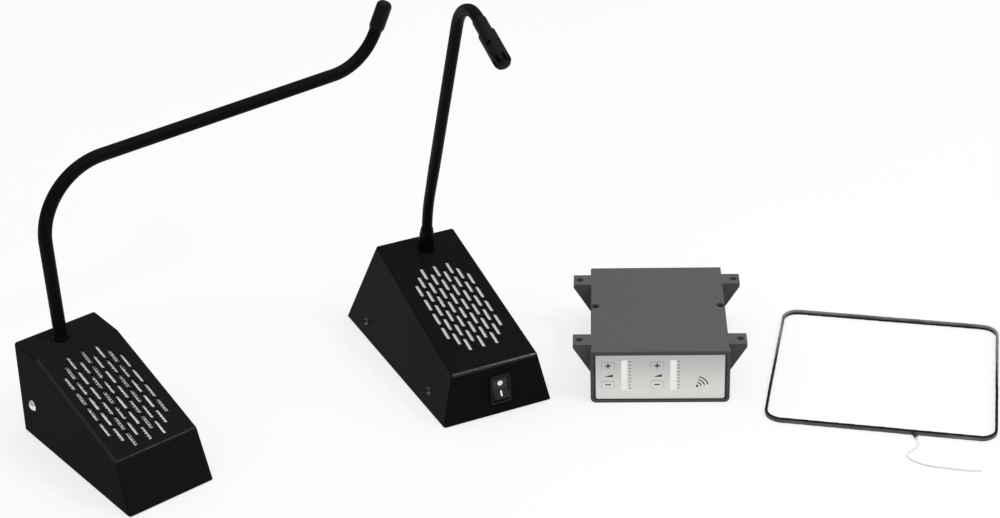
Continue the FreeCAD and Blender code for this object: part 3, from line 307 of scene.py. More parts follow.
class Finish(Graph):
    """A material with a Principled shader. Some of its settings are the same all over the surface, and
    patterns feed the rest."""

    def __init__(self, name, **fixed):
        self.material = bpy.data.materials.new(name)
        self.material.use_nodes = True
        super().__init__(self.material.node_tree)
        self.shader = self.tree.nodes["Principled BSDF"]
        self.place = self.add("ShaderNodeTexCoord").out("Object")
        for socket, value in fixed.items():
            self.shader.inputs[socket.replace("_", " ")].default_value = value

    def feed(self, socket, pattern):
        self.tree.links.new(pattern.socket, self.shader.inputs[socket])

    def stretched(self, stretch):
        """Object coordinates stretched along the axes."""
        return self.add("ShaderNodeMapping", {0: self.place, "Scale": stretch})

    def noise(self, size_mm, detail=2.0, place=None, seed=0.0):
        """Noise from 0 to 1 whose lumps have about this size."""
        inputs = {"Vector": place or self.place, "W": seed, "Scale": 1000.0 / size_mm, "Detail": detail}
        return self.add("ShaderNodeTexNoise", inputs, noise_dimensions="4D")

    def ramp(self, value, low, high, low_at=0.3, high_at=0.7):
        """A level that turns from low to high as the value goes from one mark to the other."""
        return self.add("ShaderNodeMapRange", {0: value, 1: low_at, 2: high_at, 3: low, 4: high},
                        interpolation_type="SMOOTHSTEP")

    def mixed(self, share, first, second):
        """One colour turning into the other with the share."""
        return self.add("ShaderNodeMix", {"Factor": share, 6: (*first, 1.0), 7: (*second, 1.0)}, output=2,
                        data_type="RGBA")

    def bump(self, height, depth_mm):
        """A normal that leans with the height, given in shares of the depth."""
        return self.add("ShaderNodeBump", {"Height": height, "Distance": depth_mm * MM, "Strength": 1.0})


def shade(colour, factor):
    return tuple(min(1.0, value * factor) for value in colour)


def grained(name, colour, roughness, grain_mm, depth_mm, drift=0.12, **fixed):
    """Paint or moulded plastic: drifting colour and gloss over a fine grain."""
    finish = Finish(name, **fixed)
    cloud = finish.noise(40.0, 3.0)
    fleck = finish.noise(grain_mm * 2.5, 1.0, seed=3.0)
    finish.feed("Base Color", finish.mixed(cloud * 0.6 + fleck * 0.4, shade(colour, 1 - drift),
                                           shade(colour, 1 + drift)))
    finish.feed("Roughness", finish.ramp(cloud * 0.7 + fleck * 0.3, roughness - 0.05, roughness + 0.05))
    finish.feed("Normal", finish.bump(finish.noise(grain_mm, 2.0, seed=7.0), depth_mm))
    return finish.material


def machined(name, colour, roughness, stretch, depth_mm=0.004):
    """Metal with fine lines drawn out along one axis."""
    finish = Finish(name, Metallic=1.0)
    lines = finish.noise(1.0, 3.0, place=finish.stretched(stretch))
    cloud = finish.noise(25.0, 2.0, seed=5.0)
    finish.feed("Base Color", finish.mixed(lines * 0.5 + cloud * 0.5, shade(colour, 0.9),
                                           shade(colour, 1.08)))
    finish.feed("Roughness", finish.ramp(lines, roughness - 0.06, roughness + 0.08))
    finish.feed("Normal", finish.bump(lines, depth_mm))
    return finish.material


# %% [markdown]
# Powder coat is a plastic powder baked on to steel. It flows out before it sets, which leaves a very fine
# orange peel. Hands and cloths rub it smoother along the bends of the sheet, so a bend shines more than the
# walls beside it. The shine is a coat whose weight falls off with the distance from the line of the bend.

# %% Finishes of the two units
RIGHT = Vector((1, 0, 0))
STAFF_FOLD, STAFF_CREST = Vector((0, 2, 39.7)), Vector((0, 143.6, 70.6))
CUSTOMER_FOLD, CUSTOMER_CREST = Vector((0, 11.6, 37.5)), Vector((0, 107.4, 69.5))
CUSTOMER_EDGE = CUSTOMER_FOLD + Vector((-30.5, 0, 0))

# Each bend is a point on its line, the line's direction and how much it shines.
STAFF_BENDS = [(STAFF_FOLD, RIGHT, 1.0)]
CUSTOMER_BENDS = [(CUSTOMER_FOLD, RIGHT, 0.12), (CUSTOMER_EDGE, CUSTOMER_CREST - CUSTOMER_FOLD, 0.5)]
BEND_REACH, RUBBED_IOR = 2.2, 1.8


def powder_coated(name, place, bends, black, sheen, polish):
    """Black powder coat on the device at this place, rubbed to this polish along each bend."""
    finish = Finish(name, Specular_IOR_Level=sheen, Coat_Roughness=polish, Coat_IOR=RUBBED_IOR)
    cloud = finish.noise(40.0, 3.0)
    grain = finish.noise(0.7, 2.0, seed=7.0)
    finish.feed("Base Color", finish.mixed(cloud, shade(black, 0.88), shade(black, 1.12)))
    finish.feed("Roughness", finish.ramp(cloud, 0.3, 0.38))
    finish.feed("Normal", finish.bump(grain, 0.004))
    shine = 0.0
    for point, heading, weight in bends:
        line = (place.to_3x3() @ heading).normalized()
        away = finish.vector_maths("SUBTRACT", finish.place, place @ (point * MM))
        distance = finish.vector_maths("LENGTH", finish.vector_maths("CROSS_PRODUCT", away, line))
        shine = finish.ramp(distance, weight, 0.0, 0.0, BEND_REACH * MM) + shine
    finish.feed("Coat Weight", shine * finish.ramp(finish.noise(6.0, 3.0, seed=2.0), 0.75, 1.0))
    return finish.material


staff_coat = powder_coated("staff_powder_coat", STAFF, STAFF_BENDS, (0.0095, 0.0095, 0.0098), 0.015, 0.12)
customer_coat = powder_coated("customer_powder_coat", CUSTOMER, CUSTOMER_BENDS, (0.0145, 0.0145, 0.0148),
                              0.004, 0.15)
plate_coat = grained("plate_coat", (0.02, 0.02, 0.021), 0.55, 0.5, 0.015, Specular_IOR_Level=0.35)
sleeve_black = grained("gooseneck_sleeve", (0.005, 0.005, 0.0053), 0.5, 0.9, 0.01, Specular_IOR_Level=0.05)
collar_black = grained("collar_black", (0.005, 0.005, 0.0053), 0.38, 0.4, 0.006, Specular_IOR_Level=0.08)
microphone_black = grained("microphone_black", (0.007, 0.007, 0.0073), 0.45, 0.35, 0.012,
                           Specular_IOR_Level=0.12)
switch_plastic = grained("switch_plastic", (0.014, 0.014, 0.0145), 0.3, 0.5, 0.004, Specular_IOR_Level=0.12)
rocker_plastic = grained("rocker_plastic", (0.022, 0.022, 0.0225), 0.4, 0.5, 0.004, Specular_IOR_Level=0.4)
rubber_black = grained("rubber_black", (0.015, 0.015, 0.015), 0.8, 0.3, 0.02, Specular_IOR_Level=0.3)
screw_black = machined("screw_black", (0.03, 0.03, 0.032), 0.35, (2000, 2000, 300))
screw_burnished = machined("screw_burnished", (0.08, 0.08, 0.082), 0.15, (900, 900, 900), depth_mm=0.002)
screw_bright = machined("screw_bright", (0.86, 0.86, 0.87), 0.28, (900, 900, 900), depth_mm=0.002)
zinc_plate = machined("zinc_plate", (0.55, 0.55, 0.56), 0.35, (700, 700, 200))
print("unit finishes made")

# %% [markdown]
# The parts inside are seen only through the slots or from below, but each is still what it is: a coated
# paper cone, a ferrite magnet, a pressed frame, a microphone capsule behind fine mesh.

# %% Finishes of the inner parts
CAPSULE_WEAVE, BOARD_TRACKS = 500.0, 330.0

cone_paper = grained("cone_paper", (0.02, 0.02, 0.021), 0.85, 1.2, 0.06)
magnet_ferrite = grained("magnet_ferrite", (0.045, 0.045, 0.05), 0.7, 0.6, 0.03)
speaker_steel = machined("speaker_steel", (0.35, 0.35, 0.36), 0.4, (400, 400, 150))
terminal_metal = machined("terminal_metal", (0.7, 0.66, 0.55), 0.3, (1200, 1200, 200))


def capsule_mesh():
    """A dark can with a fine woven mesh over it."""
    finish = Finish("capsule_mesh", Specular_IOR_Level=0.1)
    inputs = {"Vector": finish.place, "Scale": CAPSULE_WEAVE}
    across, upright = (finish.add("ShaderNodeTexWave", inputs, bands_direction=axis) for axis in "XZ")
    weave = across.out("Fac") * upright.out("Fac")
    finish.feed("Base Color", finish.mixed(weave, (0.001, 0.001, 0.001), (0.008, 0.008, 0.0083)))
    finish.feed("Roughness", finish.ramp(weave, 0.6, 0.4, 0.0, 1.0))
    finish.feed("Normal", finish.bump(weave, 0.15))
    return finish.material


def circuit_board():
    """Green solder mask with paler tracks under it."""
    finish = Finish("circuit_board", Specular_IOR_Level=0.5)
    cells = finish.add("ShaderNodeTexVoronoi", {"Vector": finish.place, "Scale": BOARD_TRACKS},
                       distance="MANHATTAN")
    tracks = finish.ramp(cells.out("Distance"), 1.0, 0.0, 0.35, 0.45)
    finish.feed("Base Color", finish.mixed(tracks, (0.006, 0.05, 0.02), (0.015, 0.12, 0.045)))
    finish.feed("Roughness", finish.ramp(finish.noise(12.0), 0.28, 0.42))
    finish.feed("Normal", finish.bump(tracks, 0.03))
    return finish.material


capsule_finish = capsule_mesh()
board_finish = circuit_board()
print("inner finishes made")

# %% [markdown]
# The amplifier's case is moulded with a matt texture. Its front plate is silver foil with a warm tone, with a
# painted reflection that makes it a little darker towards its top. The level displays are milky strips with
# small lamps behind them, so they glow faintly. The white lead and the switch's white marks are given a
# fainter glow, painted light that keeps them white in this soft light.

# %% Finishes of the amplifier and the loop
PANEL_FADE_FROM, PANEL_FADE_TO = 6.0, 40.0
LAMP_GLOW, WHITE_GLOW = (1.0, 1.0, 0.97, 1.0), (1.0, 1.0, 0.98, 1.0)


def brushed_panel():
    """Silver foil, darker towards its top by a painted reflection, with fine upright brush lines."""
    finish = Finish("panel_silver", Metallic=1.0)
    lines = finish.noise(1.0, 3.0, place=finish.stretched((2200, 2200, 60)))
    height = finish.part(finish.place, "Z")
    # Painted reflection: the foil's colour darkens from the bottom of the plate to its top.
    reflection_fade = finish.ramp(height, 0.0, 1.0, PANEL_FADE_FROM * MM, PANEL_FADE_TO * MM)
    finish.feed("Base Color", finish.mixed(reflection_fade * 0.94 + lines * 0.06, (0.77, 0.76, 0.74), (0.52, 0.51, 0.5)))
    finish.feed("Roughness", finish.ramp(lines, 0.38, 0.5))
    finish.feed("Normal", finish.bump(lines, 0.003))
    return finish.material


case_plastic = grained("case_plastic", (0.125, 0.125, 0.127), 0.72, 0.45, 0.02, drift=0.04,
                       Specular_IOR_Level=0.3)
panel_silver = brushed_panel()
lens_milky = grained("lens_milky", (0.9, 0.9, 0.89), 0.4, 1.5, 0.004, drift=0.03,
                     Subsurface_Weight=0.2, Subsurface_Radius=(0.003, 0.003, 0.003))
lens_lit = grained("lens_lit", (0.9, 0.9, 0.88), 0.4, 1.5, 0.004, drift=0.03,
                   Emission_Color=LAMP_GLOW, Emission_Strength=0.42)
moulded_black = grained("moulded_black", (0.015, 0.015, 0.016), 0.45, 0.5, 0.008)
terminal_green = grained("terminal_green", (0.02, 0.16, 0.05), 0.4, 0.6, 0.008)
# Black print, which also paints the shade in the gap round the amplifier's plate.
print_black = grained("print_black", (0.02, 0.02, 0.02), 0.6, 0.3, 0.002)
# Painted light: the white marks glow a little, though they are no lamp.
print_white = grained("print_white", (0.95, 0.95, 0.94), 0.5, 0.3, 0.002, drift=0.02,
                      Emission_Color=WHITE_GLOW, Emission_Strength=0.3)
wire_bright = machined("wire_bright", (0.88, 0.88, 0.87), 0.45, (600, 600, 600), depth_mm=0.006)
# Painted light: the lead glows a little, though it is no lamp.
lead_white = grained("lead_white", (0.93, 0.93, 0.92), 0.5, 1.0, 0.01, drift=0.03,
                     Emission_Color=WHITE_GLOW, Emission_Strength=0.15)
tinned_wire = machined("tinned_wire", (0.72, 0.72, 0.72), 0.3, (800, 800, 800))
copper_wire = machined("copper_wire", (0.75, 0.32, 0.16), 0.3, (200, 200, 2500), depth_mm=0.05)
print("amplifier and loop finishes made")

# %% [markdown]
# ## Dressing the CAD parts
#
# A CAD part whose shape is right stays as it is and only gets its finish. One table says which finish each
# kind of part takes, so that both units are dressed by the same lines.

# %% Dress the CAD parts
UNIT_FINISHES = {
    "base_plate": plate_coat, "feet": rubber_black, "cable_grommet": rubber_black,
    "speaker_frame": speaker_steel, "speaker_cone": cone_paper, "speaker_magnet": magnet_ferrite,
    "speaker_nuts": zinc_plate, "neck_nut": zinc_plate, "neck_ferrule": collar_black,
    "neck_lower": sleeve_black, "neck_flex": sleeve_black, "neck_tip_flex": sleeve_black,
    "mic_body": microphone_black, "mic_capsule": capsule_finish,
}
PART_FINISHES = {
    "staff_housing": staff_coat, "customer_housing": customer_coat, "staff_side_screws": screw_burnished,
    "customer_side_screws": screw_bright, "staff_neck_stem": sleeve_black, "customer_neck_arm": sleeve_black,
    "staff_switch_body": switch_plastic, "staff_switch_rocker": rocker_plastic,
    "staff_switch_tabs": terminal_metal, "staff_circuit_board": board_finish, "amp_case_upper": case_plastic,
    "amp_case_lower": case_plastic, "amp_case_screws": screw_black, "amp_front_panel": panel_silver,
    "amp_back_panel": panel_silver, "amp_light_bars": lens_lit, "amp_key_board": board_finish,
    "amp_main_board": board_finish, "amp_power_jack": moulded_black, "amp_unit_sockets": moulded_black,
    "amp_loop_terminal": terminal_green, "loop_sleeve": moulded_black, "loop_winding": copper_wire,
    "loop_lead_exit": moulded_black, "loop_lead_tip": tinned_wire, "loop_lead": lead_white,
    "staff_grille": lens_milky, "customer_grille": lens_milky,
}
for unit in ("staff", "customer"):
    PART_FINISHES.update({f"{unit}_{part}": finish for part, finish in UNIT_FINISHES.items()})
for column in ("a", "b"):
    PART_FINISHES.update({f"amp_key_{column}_{row}": panel_silver for row in ("up", "down")})


def dress(piece, material):
    piece.data.materials.clear()
    piece.data.materials.append(material)


for name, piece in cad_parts.items():
    dress(piece, PART_FINISHES[name])
dress(lead, lead_white)
print("dressed", len(PART_FINISHES), "CAD parts")

# %% [markdown]
# ## Gooseneck sleeves
#
# A gooseneck is a wound steel core in a smooth black sleeve. The CAD model cuts it into stretches that stay
# straight and stretches that flex. Here each neck is two long tubes whose seam lies in a straight run. Each
# tube crosses one joint.

# %% Tubes along a route
ROUTE_SPACING, ARC_STEPS, NECK_SIDES = 1.5, 4, 40


def rounded_route(points, radii):
    """Places and directions along straight runs joined by tangent arcs, in millimetres."""
    steps = []

    def add_run(start, end):
        count = max(1, round((end - start).length / ROUTE_SPACING))
        steps.extend((start.lerp(end, i / count), (end - start).normalized()) for i in range(count))

    start = points[0]
    for before, corner, after, radius in zip(points, points[1:], points[2:], radii):
        back, ahead = (before - corner).normalized(), (after - corner).normalized()
        half_turn = (math.pi - back.angle(ahead)) / 2
        reach = radius * math.tan(half_turn)
        arc_start = corner + back * reach
        centre = corner + (back + ahead).normalized() * (radius / math.cos(half_turn))
        add_run(start, arc_start)
        axis = (-back).cross(ahead).normalized()
        count = max(ARC_STEPS, round(2 * half_turn * radius / ROUTE_SPACING))
        for i in range(count):
            turn = Matrix.Rotation(2 * half_turn * i / count, 3, axis)
            steps.append((centre + turn @ (arc_start - centre), turn @ -back))
        start = corner + ahead * reach
    add_run(start, points[-1])
    return steps + [(points[-1], steps[-1][1])]


def stretch_of(steps, start, end):
    """The part of a route between two distances along it, with both ends exact."""
    kept, passed = [], 0.0
    for (here, heading), (there, _) in zip(steps, steps[1:]):
        length = (there - here).length
        if not kept and passed + length > start:
            kept.append((here.lerp(there, (start - passed) / length), heading))
        elif kept:
            kept.append((here, heading))
        passed += length
        if passed >= end:
            kept.append((there.lerp(here, (passed - end) / length), heading))
            break
    return kept


def place_at(steps, distance):
    return stretch_of(steps, distance, distance + 1.0)[0][0]


def between(stops, distance):
    """The value at a distance, in straight lines between (distance, value) stops."""
    for (start, low), (end, high) in zip(stops, stops[1:]):
        if distance < end:
            return low + (high - low) * max(0.0, distance - start) / (end - start)
    return stops[-1][1]


def add_band(shape, first, second):
    """Faces between two rings that have the same number of points."""
    for i in range(len(first)):
        j = (i + 1) % len(first)
        shape.faces.new((first[i], first[j], second[j], second[i]))


def object_from(name, shape, smooth=True):
    """The finished mesh as an object whose origin is the frame's."""
    bmesh.ops.recalc_face_normals(shape, faces=shape.faces)
    data = bpy.data.meshes.new(name)
    shape.to_mesh(data)
    shape.free()
    if smooth:
        data.shade_smooth()
        data.set_sharp_from_angle(angle=math.radians(SHARP_ANGLE))
    made = bpy.data.objects.new(name, data)
    bpy.context.scene.collection.objects.link(made)
    return made


def tube_along(name, place, steps, start, radii, side):
    """A closed round tube, one ring of points at each step, its rings upright to the side direction.
    The radii are stops along the whole route, and the steps begin at the start distance."""
    shape = bmesh.new()
    rings, distance, last = [], start, steps[0][0]
    for middle, heading in steps:
        distance += (middle - last).length
        radius, last = between(radii, distance), middle
        other = heading.cross(side)
        ring = []
        for i in range(NECK_SIDES):
            angle = 2 * math.pi * i / NECK_SIDES
            point = middle + (side * math.cos(angle) + other * math.sin(angle)) * radius
            ring.append(shape.verts.new(place @ (point * MM)))
        rings.append(ring)
    for first, second in zip(rings, rings[1:]):
        add_band(shape, first, second)
    shape.faces.new(rings[0][::-1])
    shape.faces.new(rings[-1])
    return object_from(name, shape)


# %% [markdown]
# The clerk's neck rises square out of the slope, leans forward and turns over at the top. The customer's
# neck rises straight, turns through a wide quarter circle and reaches out level before its tip turns up.
# A route is a few points and the radius of the bend at each. Its last point is moved on into the microphone,
# so that the sleeve ends out of sight. The radii are stops that say how thick the sleeve is on its way.

# %% Neck routes
STAFF_NECK_X, STAFF_NECK_T, STAFF_NECK_RISE = 2.8, 129.7, 37.9
STAFF_NECK_TOP = [(43.8, 282.8), (21.4, 290.8), (12.1, 286.8)]
STAFF_NECK_BENDS = [122.0, 30.0, 21.0]
STAFF_NECK_RADII = [(0, 3.8), (55, 3.8), (80, 4.05), (300, 4.05)]
CUSTOMER_NECK_Y = 122.7
CUSTOMER_NECK_PATH = [(-4.3, 69.5), (-4.3, 191.2), (257.6, 191.2), (270.4, 214.3)]
CUSTOMER_NECK_BENDS = [49.0, 44.0]
CUSTOMER_NECK_RADII = [(0, 4.55), (60, 4.6), (100, 4.75), (160, 4.6), (400, 4.6)]
INTO_MICROPHONE = 2.0


def run_on(points):
    """The route's points, the last moved on into the microphone."""
    heading = (points[-1] - points[-2]).normalized()
    return points[:-1] + [points[-1] + heading * INTO_MICROPHONE]


slope_up = (STAFF_CREST - STAFF_FOLD).normalized()
slope_out = RIGHT.cross(slope_up)
staff_foot = STAFF_FOLD + slope_up * STAFF_NECK_T + RIGHT * STAFF_NECK_X
staff_points = [staff_foot, staff_foot + slope_out * STAFF_NECK_RISE]
staff_points += [Vector((STAFF_NECK_X, y, z)) for y, z in STAFF_NECK_TOP]
staff_route = rounded_route(run_on(staff_points), STAFF_NECK_BENDS)
customer_points = [Vector((x, CUSTOMER_NECK_Y, z)) for x, z in CUSTOMER_NECK_PATH]
customer_route = rounded_route(run_on(customer_points), CUSTOMER_NECK_BENDS)

# The ends, the seam between the tubes and the two bends are distances along the route.
NECKS = {
    "staff": dict(place=STAFF, route=staff_route, radii=STAFF_NECK_RADII, side=RIGHT, straight="stem",
                  ends=(1.0, 265.0), seam=140.0, foot_bend=(24.0, 70.0), tip_bend=(207.0, 262.0)),
    "customer": dict(place=CUSTOMER, route=customer_route, radii=CUSTOMER_NECK_RADII,
                     side=Vector((0, 1, 0)), straight="arm", ends=(1.0, 385.2), seam=240.0,
                     foot_bend=(64.0, 160.0), tip_bend=(330.0, 383.0)),
}


def neck_tube(name, neck, start, end, bend, nodes):
    """One of a neck's two tubes, in place of the CAD parts that it hides."""
    place, route = neck["place"], neck["route"]
    tube = tube_along(name, place, stretch_of(route, start, end), start, neck["radii"], neck["side"])
    bend_start, bend_end = (place @ (place_at(route, distance) * MM) for distance in bend)
    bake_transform(tube)
    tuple(bend_start)
    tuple(bend_end)
    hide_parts(*nodes)
    dress(tube, sleeve_black)
    print(name, "has", len(tube.data.vertices), "points")


for unit, neck in NECKS.items():
    foot, tip = neck["ends"]
    neck_tube(f"{unit}_neck_sleeve", neck, foot, neck["seam"], neck["foot_bend"],
              (f"{unit}_neck_lower", f"{unit}_neck_flex"))
    neck_tube(f"{unit}_neck_end_sleeve", neck, neck["seam"], tip, neck["tip_bend"],
              (f"{unit}_neck_{neck['straight']}", f"{unit}_neck_tip_flex"))

# %% [markdown]
# ## Woven wire behind the customer's slots
#
# Behind the customer's slots lies a rolled wire cloth: stout wires up the slope, and thin ones across that
# run over one and under the next. So each wire is a wave, and its neighbour is the same wave moved on by one
# pitch. The cloth is rolled flat, so the weave is squeezed to the thickness of the CAD sheet that it
# replaces. It isn't cut quite square to its wires, so each slot shows another part of the weave.

# %% Woven wire
CLOTH_WIDTH, CLOTH_LENGTH, CLOTH_TURN = 51.0, 96.0, 2.0
STOUT_RADIUS, STOUT_PITCH, STOUT_SWAY = 1.3, 3.2, 0.3
THIN_RADIUS, THIN_PITCH = 0.5, 2.6
CLOTH_THICK, CLOTH_DEPTH, CLOTH_X, CLOTH_CENTRE = 0.48, 1.76, -0.5, 50.65
WIRE_STEPS, WIRE_SIDES = 150, 8


def set_of_wires(recipe, length, width, radius, sway, pitch, other_pitch):
    """Wires along X, a pitch apart in Y, that sway once over and once under the wires of the other set."""
    line = recipe.add("GeometryNodeCurvePrimitiveLine", {
        "Start": recipe.vector(length * -0.5), "End": recipe.vector(length * 0.5)})
    fine = recipe.add("GeometryNodeResampleCurve", {"Curve": line, "Count": recipe.size("Steps")})
    along = recipe.part(recipe.add("GeometryNodeInputPosition"), "X")
    waved = recipe.moved(fine, recipe.vector(z=(along / other_pitch * math.pi).maths("COSINE") * sway))
    profile = recipe.add("GeometryNodeCurvePrimitiveCircle", {"Resolution": WIRE_SIDES, "Radius": radius})
    round_wire = recipe.add("GeometryNodeCurveToMesh", {
        "Curve": waved, "Profile Curve": profile, "Fill Caps": True})
    count = (width / pitch).maths("FLOOR")
    row = recipe.add("GeometryNodeMeshLine", {
        "Count": count, "Offset": recipe.vector(y=pitch),
        "Start Location": recipe.vector(y=(count - 1.0) * pitch * -0.5)})
    odd = recipe.add("GeometryNodeInputIndex").maths("MODULO", 2.0)
    places = recipe.moved(row, recipe.vector(x=odd * other_pitch - other_pitch * 0.5))
    return recipe.add("GeometryNodeInstanceOnPoints", {"Points": places, "Instance": round_wire})


def wire_cloth(name, place, material):
    recipe = Recipe(name, Width=CLOTH_WIDTH * MM, Length=CLOTH_LENGTH * MM, Stout=STOUT_RADIUS * MM,
                    StoutPitch=STOUT_PITCH * MM, StoutSway=STOUT_SWAY * MM, Thin=THIN_RADIUS * MM,
                    ThinPitch=THIN_PITCH * MM, Steps=WIRE_STEPS)
    size = recipe.size
    stout = set_of_wires(recipe, size("Length") - size("ThinPitch"), size("Width"), size("Stout"),
                         size("StoutSway"), size("StoutPitch"), size("ThinPitch"))
    thin_sway = size("Stout") + size("Thin") - size("StoutSway")
    thin = set_of_wires(recipe, size("Width") - size("StoutPitch"), size("Length"), size("Thin"), thin_sway,
                        size("ThinPitch"), size("StoutPitch"))
    turned = recipe.add("GeometryNodeTransform", {
        "Geometry": stout, "Rotation": (0, 0, math.radians(90 + CLOTH_TURN))})
    both = recipe.add("GeometryNodeJoinGeometry")
    recipe.tree.links.new(turned.socket, both.socket.node.inputs[0])
    recipe.tree.links.new(thin.socket, both.socket.node.inputs[0])
    flat = CLOTH_THICK / (2 * (STOUT_RADIUS + 2 * THIN_RADIUS - STOUT_SWAY))
    rolled = recipe.add("GeometryNodeTransform", {"Geometry": both, "Scale": (1, 1, flat)})
    return recipe.made(name, rolled, material, place, smooth_angle=180)


customer_slope_up = (CUSTOMER_CREST - CUSTOMER_FOLD).normalized()
cloth_centre = CUSTOMER_FOLD + customer_slope_up * CLOTH_CENTRE + RIGHT * CLOTH_X
slope_face = face_frame(CUSTOMER, cloth_centre, RIGHT, customer_slope_up)
cloth_place = slope_face @ Matrix.Translation(mm(0, 0, -CLOTH_DEPTH))
cloth = wire_cloth("customer_wire_cloth", cloth_place, wire_bright)
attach(cloth, "customer_unit")
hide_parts("customer_grille")
print("wire cloth faces:", len(cloth.data.polygons))

# %% [markdown]
# ## The taped loop
#
# The loop is a flat bundle of wire held in shape by black tape wound round it. A grey sheen is painted on
# the tape in uneven patches, where the light falls on it. The painted sheen turns as it goes round the loop:
# it is low on the outside along the front, and over the top along the back. How far out each point lies is
# stored on the mesh when it is made, and the finish reads it there. Height and depth come from the
# coordinates.

# %% Tape finish
LOOP_ACROSS, LOOP_DEEP, LOOP_CORNER = 155.7, 147.3, 12.0
LOOP_BAND, LOOP_HEIGHT = 2.0, 4.0
# The last of these is the size of the patches of painted sheen, in millimetres.
FRONT_SLANT, BACK_SPREAD, SHEEN_PATCH = 0.9, 0.4, 22.0


def sheen_painted_tape():
    """Black tape with a painted sheen whose place in the section changes from the front to the back."""
    finish = Finish("tape_black", Specular_IOR_Level=0.1)
    outward = finish.add("ShaderNodeAttribute", attribute_name="outward").out("Fac")
    rise = finish.part(finish.place, "Z") * (2 / (LOOP_HEIGHT * MM)) - 1.0
    from_front = finish.vector_maths("SUBTRACT", finish.place, LOOP.to_translation())
    backward = finish.vector_maths("DOT_PRODUCT", from_front, LOOP.to_3x3().col[1])
    share = backward * (1 / (LOOP_DEEP * MM))
    front, back = outward - rise * FRONT_SLANT, rise + BACK_SPREAD
    # Painted sheen: where the light falls on the tape, its colour turns grey in patches.
    sheen_side = finish.ramp(front + (back - front) * share, 0.0, 1.0, 0.2, 0.7)
    painted_sheen = sheen_side * finish.ramp(finish.noise(SHEEN_PATCH, 3.0, seed=4.0), 0.5, 1.0, 0.35, 0.65)
    finish.feed("Base Color", finish.mixed(painted_sheen, (0.006, 0.006, 0.0063), (0.32, 0.32, 0.322)))
    finish.feed("Roughness", finish.ramp(painted_sheen, 0.35, 0.55, 0.0, 1.0))
    finish.feed("Normal", finish.bump(finish.noise(0.8, 2.0, seed=7.0), 0.012))
    return finish.material


tape_black = sheen_painted_tape()
print("tape finish made")

# %% [markdown]
# The tape's edge climbs round the bundle once in each turn and leaves a small step, and the bundle never
# lies quite true. So a flat band is drawn along the rounded rectangle of the CAD model. Noise moves its path
# a little, and the step is worked out from the distance along the path and the place around the band.

# %% Taped loop
TAPE_TURNS, TAPE_STEP, STEPS_A_TURN = 56, 0.16, 12
LOOP_WANDER, WANDER_SCALE = 0.25, 35.0
BAND_POINTS, BAND_ROUNDING = 28, 0.32


def taped_loop(name, place, material):
    recipe = Recipe(name, Across=(LOOP_ACROSS - LOOP_BAND) * MM, Deep=(LOOP_DEEP - LOOP_BAND) * MM,
                    Corner=(LOOP_CORNER - LOOP_BAND / 2) * MM, Band=LOOP_BAND * MM, Height=LOOP_HEIGHT * MM,
                    Turns=TAPE_TURNS, Step=TAPE_STEP * MM, Wander=LOOP_WANDER * MM)
    size = recipe.size
    outline = recipe.add("GeometryNodeCurvePrimitiveQuadrilateral", {
        "Width": size("Across"), "Height": size("Deep")})
    path = recipe.add("GeometryNodeFilletCurve", {"Curve": outline, "Count": 12, "Radius": size("Corner")},
                      mode="POLY")
    path = recipe.add("GeometryNodeResampleCurve", {"Curve": path, "Count": TAPE_TURNS * STEPS_A_TURN})
    path = recipe.add("GeometryNodeSetCurveNormal", {"Curve": path}, mode="Z_UP")
    path = recipe.kept(path, "along", recipe.add("GeometryNodeSplineParameter"))
    lumps = recipe.add("ShaderNodeTexNoise", {
        "Vector": recipe.add("GeometryNodeInputPosition"), "Scale": WANDER_SCALE, "Detail": 1.0}).out("Color")
    centred = recipe.vector_maths("SUBTRACT", lumps, (0.5, 0.5, 0.5))
    level = recipe.vector_maths("MULTIPLY", centred, (2.0, 2.0, 0.0))
    path = recipe.moved(path, recipe.vector_maths("SCALE", level, size("Wander")))

    band = recipe.add("GeometryNodeCurvePrimitiveQuadrilateral", {
        "Width": size("Band") - size("Step"), "Height": size("Height") - size("Step") * 2.0})
    band = recipe.add("GeometryNodeFilletCurve", {
        "Curve": band, "Count": 4, "Radius": size("Band") * BAND_ROUNDING}, mode="POLY")
    band = recipe.add("GeometryNodeResampleCurve", {"Curve": band, "Count": BAND_POINTS})
    band = recipe.kept(band, "around", recipe.add("GeometryNodeSplineParameter"))
    across = recipe.part(recipe.add("GeometryNodeInputPosition"), "X")
    band = recipe.kept(band, "outward", across / size("Band") * 2.0)

    sleeve = recipe.add("GeometryNodeCurveToMesh", {"Curve": path, "Profile Curve": band})
    climb = recipe.stored("along") * size("Turns") + recipe.stored("around")
    lift = (climb.maths("FRACT") - 0.5) * size("Step")
    sleeve = recipe.moved(sleeve, recipe.vector_maths("SCALE", recipe.add("GeometryNodeInputNormal"), lift))
    raised = recipe.moved(sleeve, recipe.vector(y=size("Deep") * 0.5 + size("Band") * 0.5,
                                                z=size("Height") * 0.5))
    return recipe.made(name, raised, material, place, smooth_angle=30)


tape = taped_loop("loop_taped_band", LOOP, tape_black)
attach(tape, "loop")
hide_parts("loop_sleeve")
print("taped loop points:", len(tape.data.vertices), "in", TAPE_TURNS, "turns of tape")

# %% [markdown]
# ## Printed marks
#
# The switch carries a filled O and an I, and the amplifier's plate carries a plus, a wedge and a minus for
# each channel, a row of ticks beside each level display and a plain sound-wave sign. Each mark is a thin
# raised shape, as screen-printed ink is, so it stays crisp from any distance. It starts a little below the
# surface, so that no gap shows under it.

# %% Mark helpers
INK, INK_ROOT = 0.06, -0.02


def inked(name, shape, body, material):
    made = object_from(name, shape, smooth=False)
    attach(made, body)
    dress(made, material)


def outline_piece(name, place, outlines, body, material):
    """Flat outlines in millimetres on a face, given a thin body of ink and joined to one piece."""
    shape = bmesh.new()
    for outline in outlines:
        low, high = ([shape.verts.new(place @ mm(x, y, z)) for x, y in outline] for z in (INK_ROOT, INK))
        shape.faces.new(low[::-1])
        shape.faces.new(high)
        add_band(shape, low, high)
    inked(name, shape, body, material)


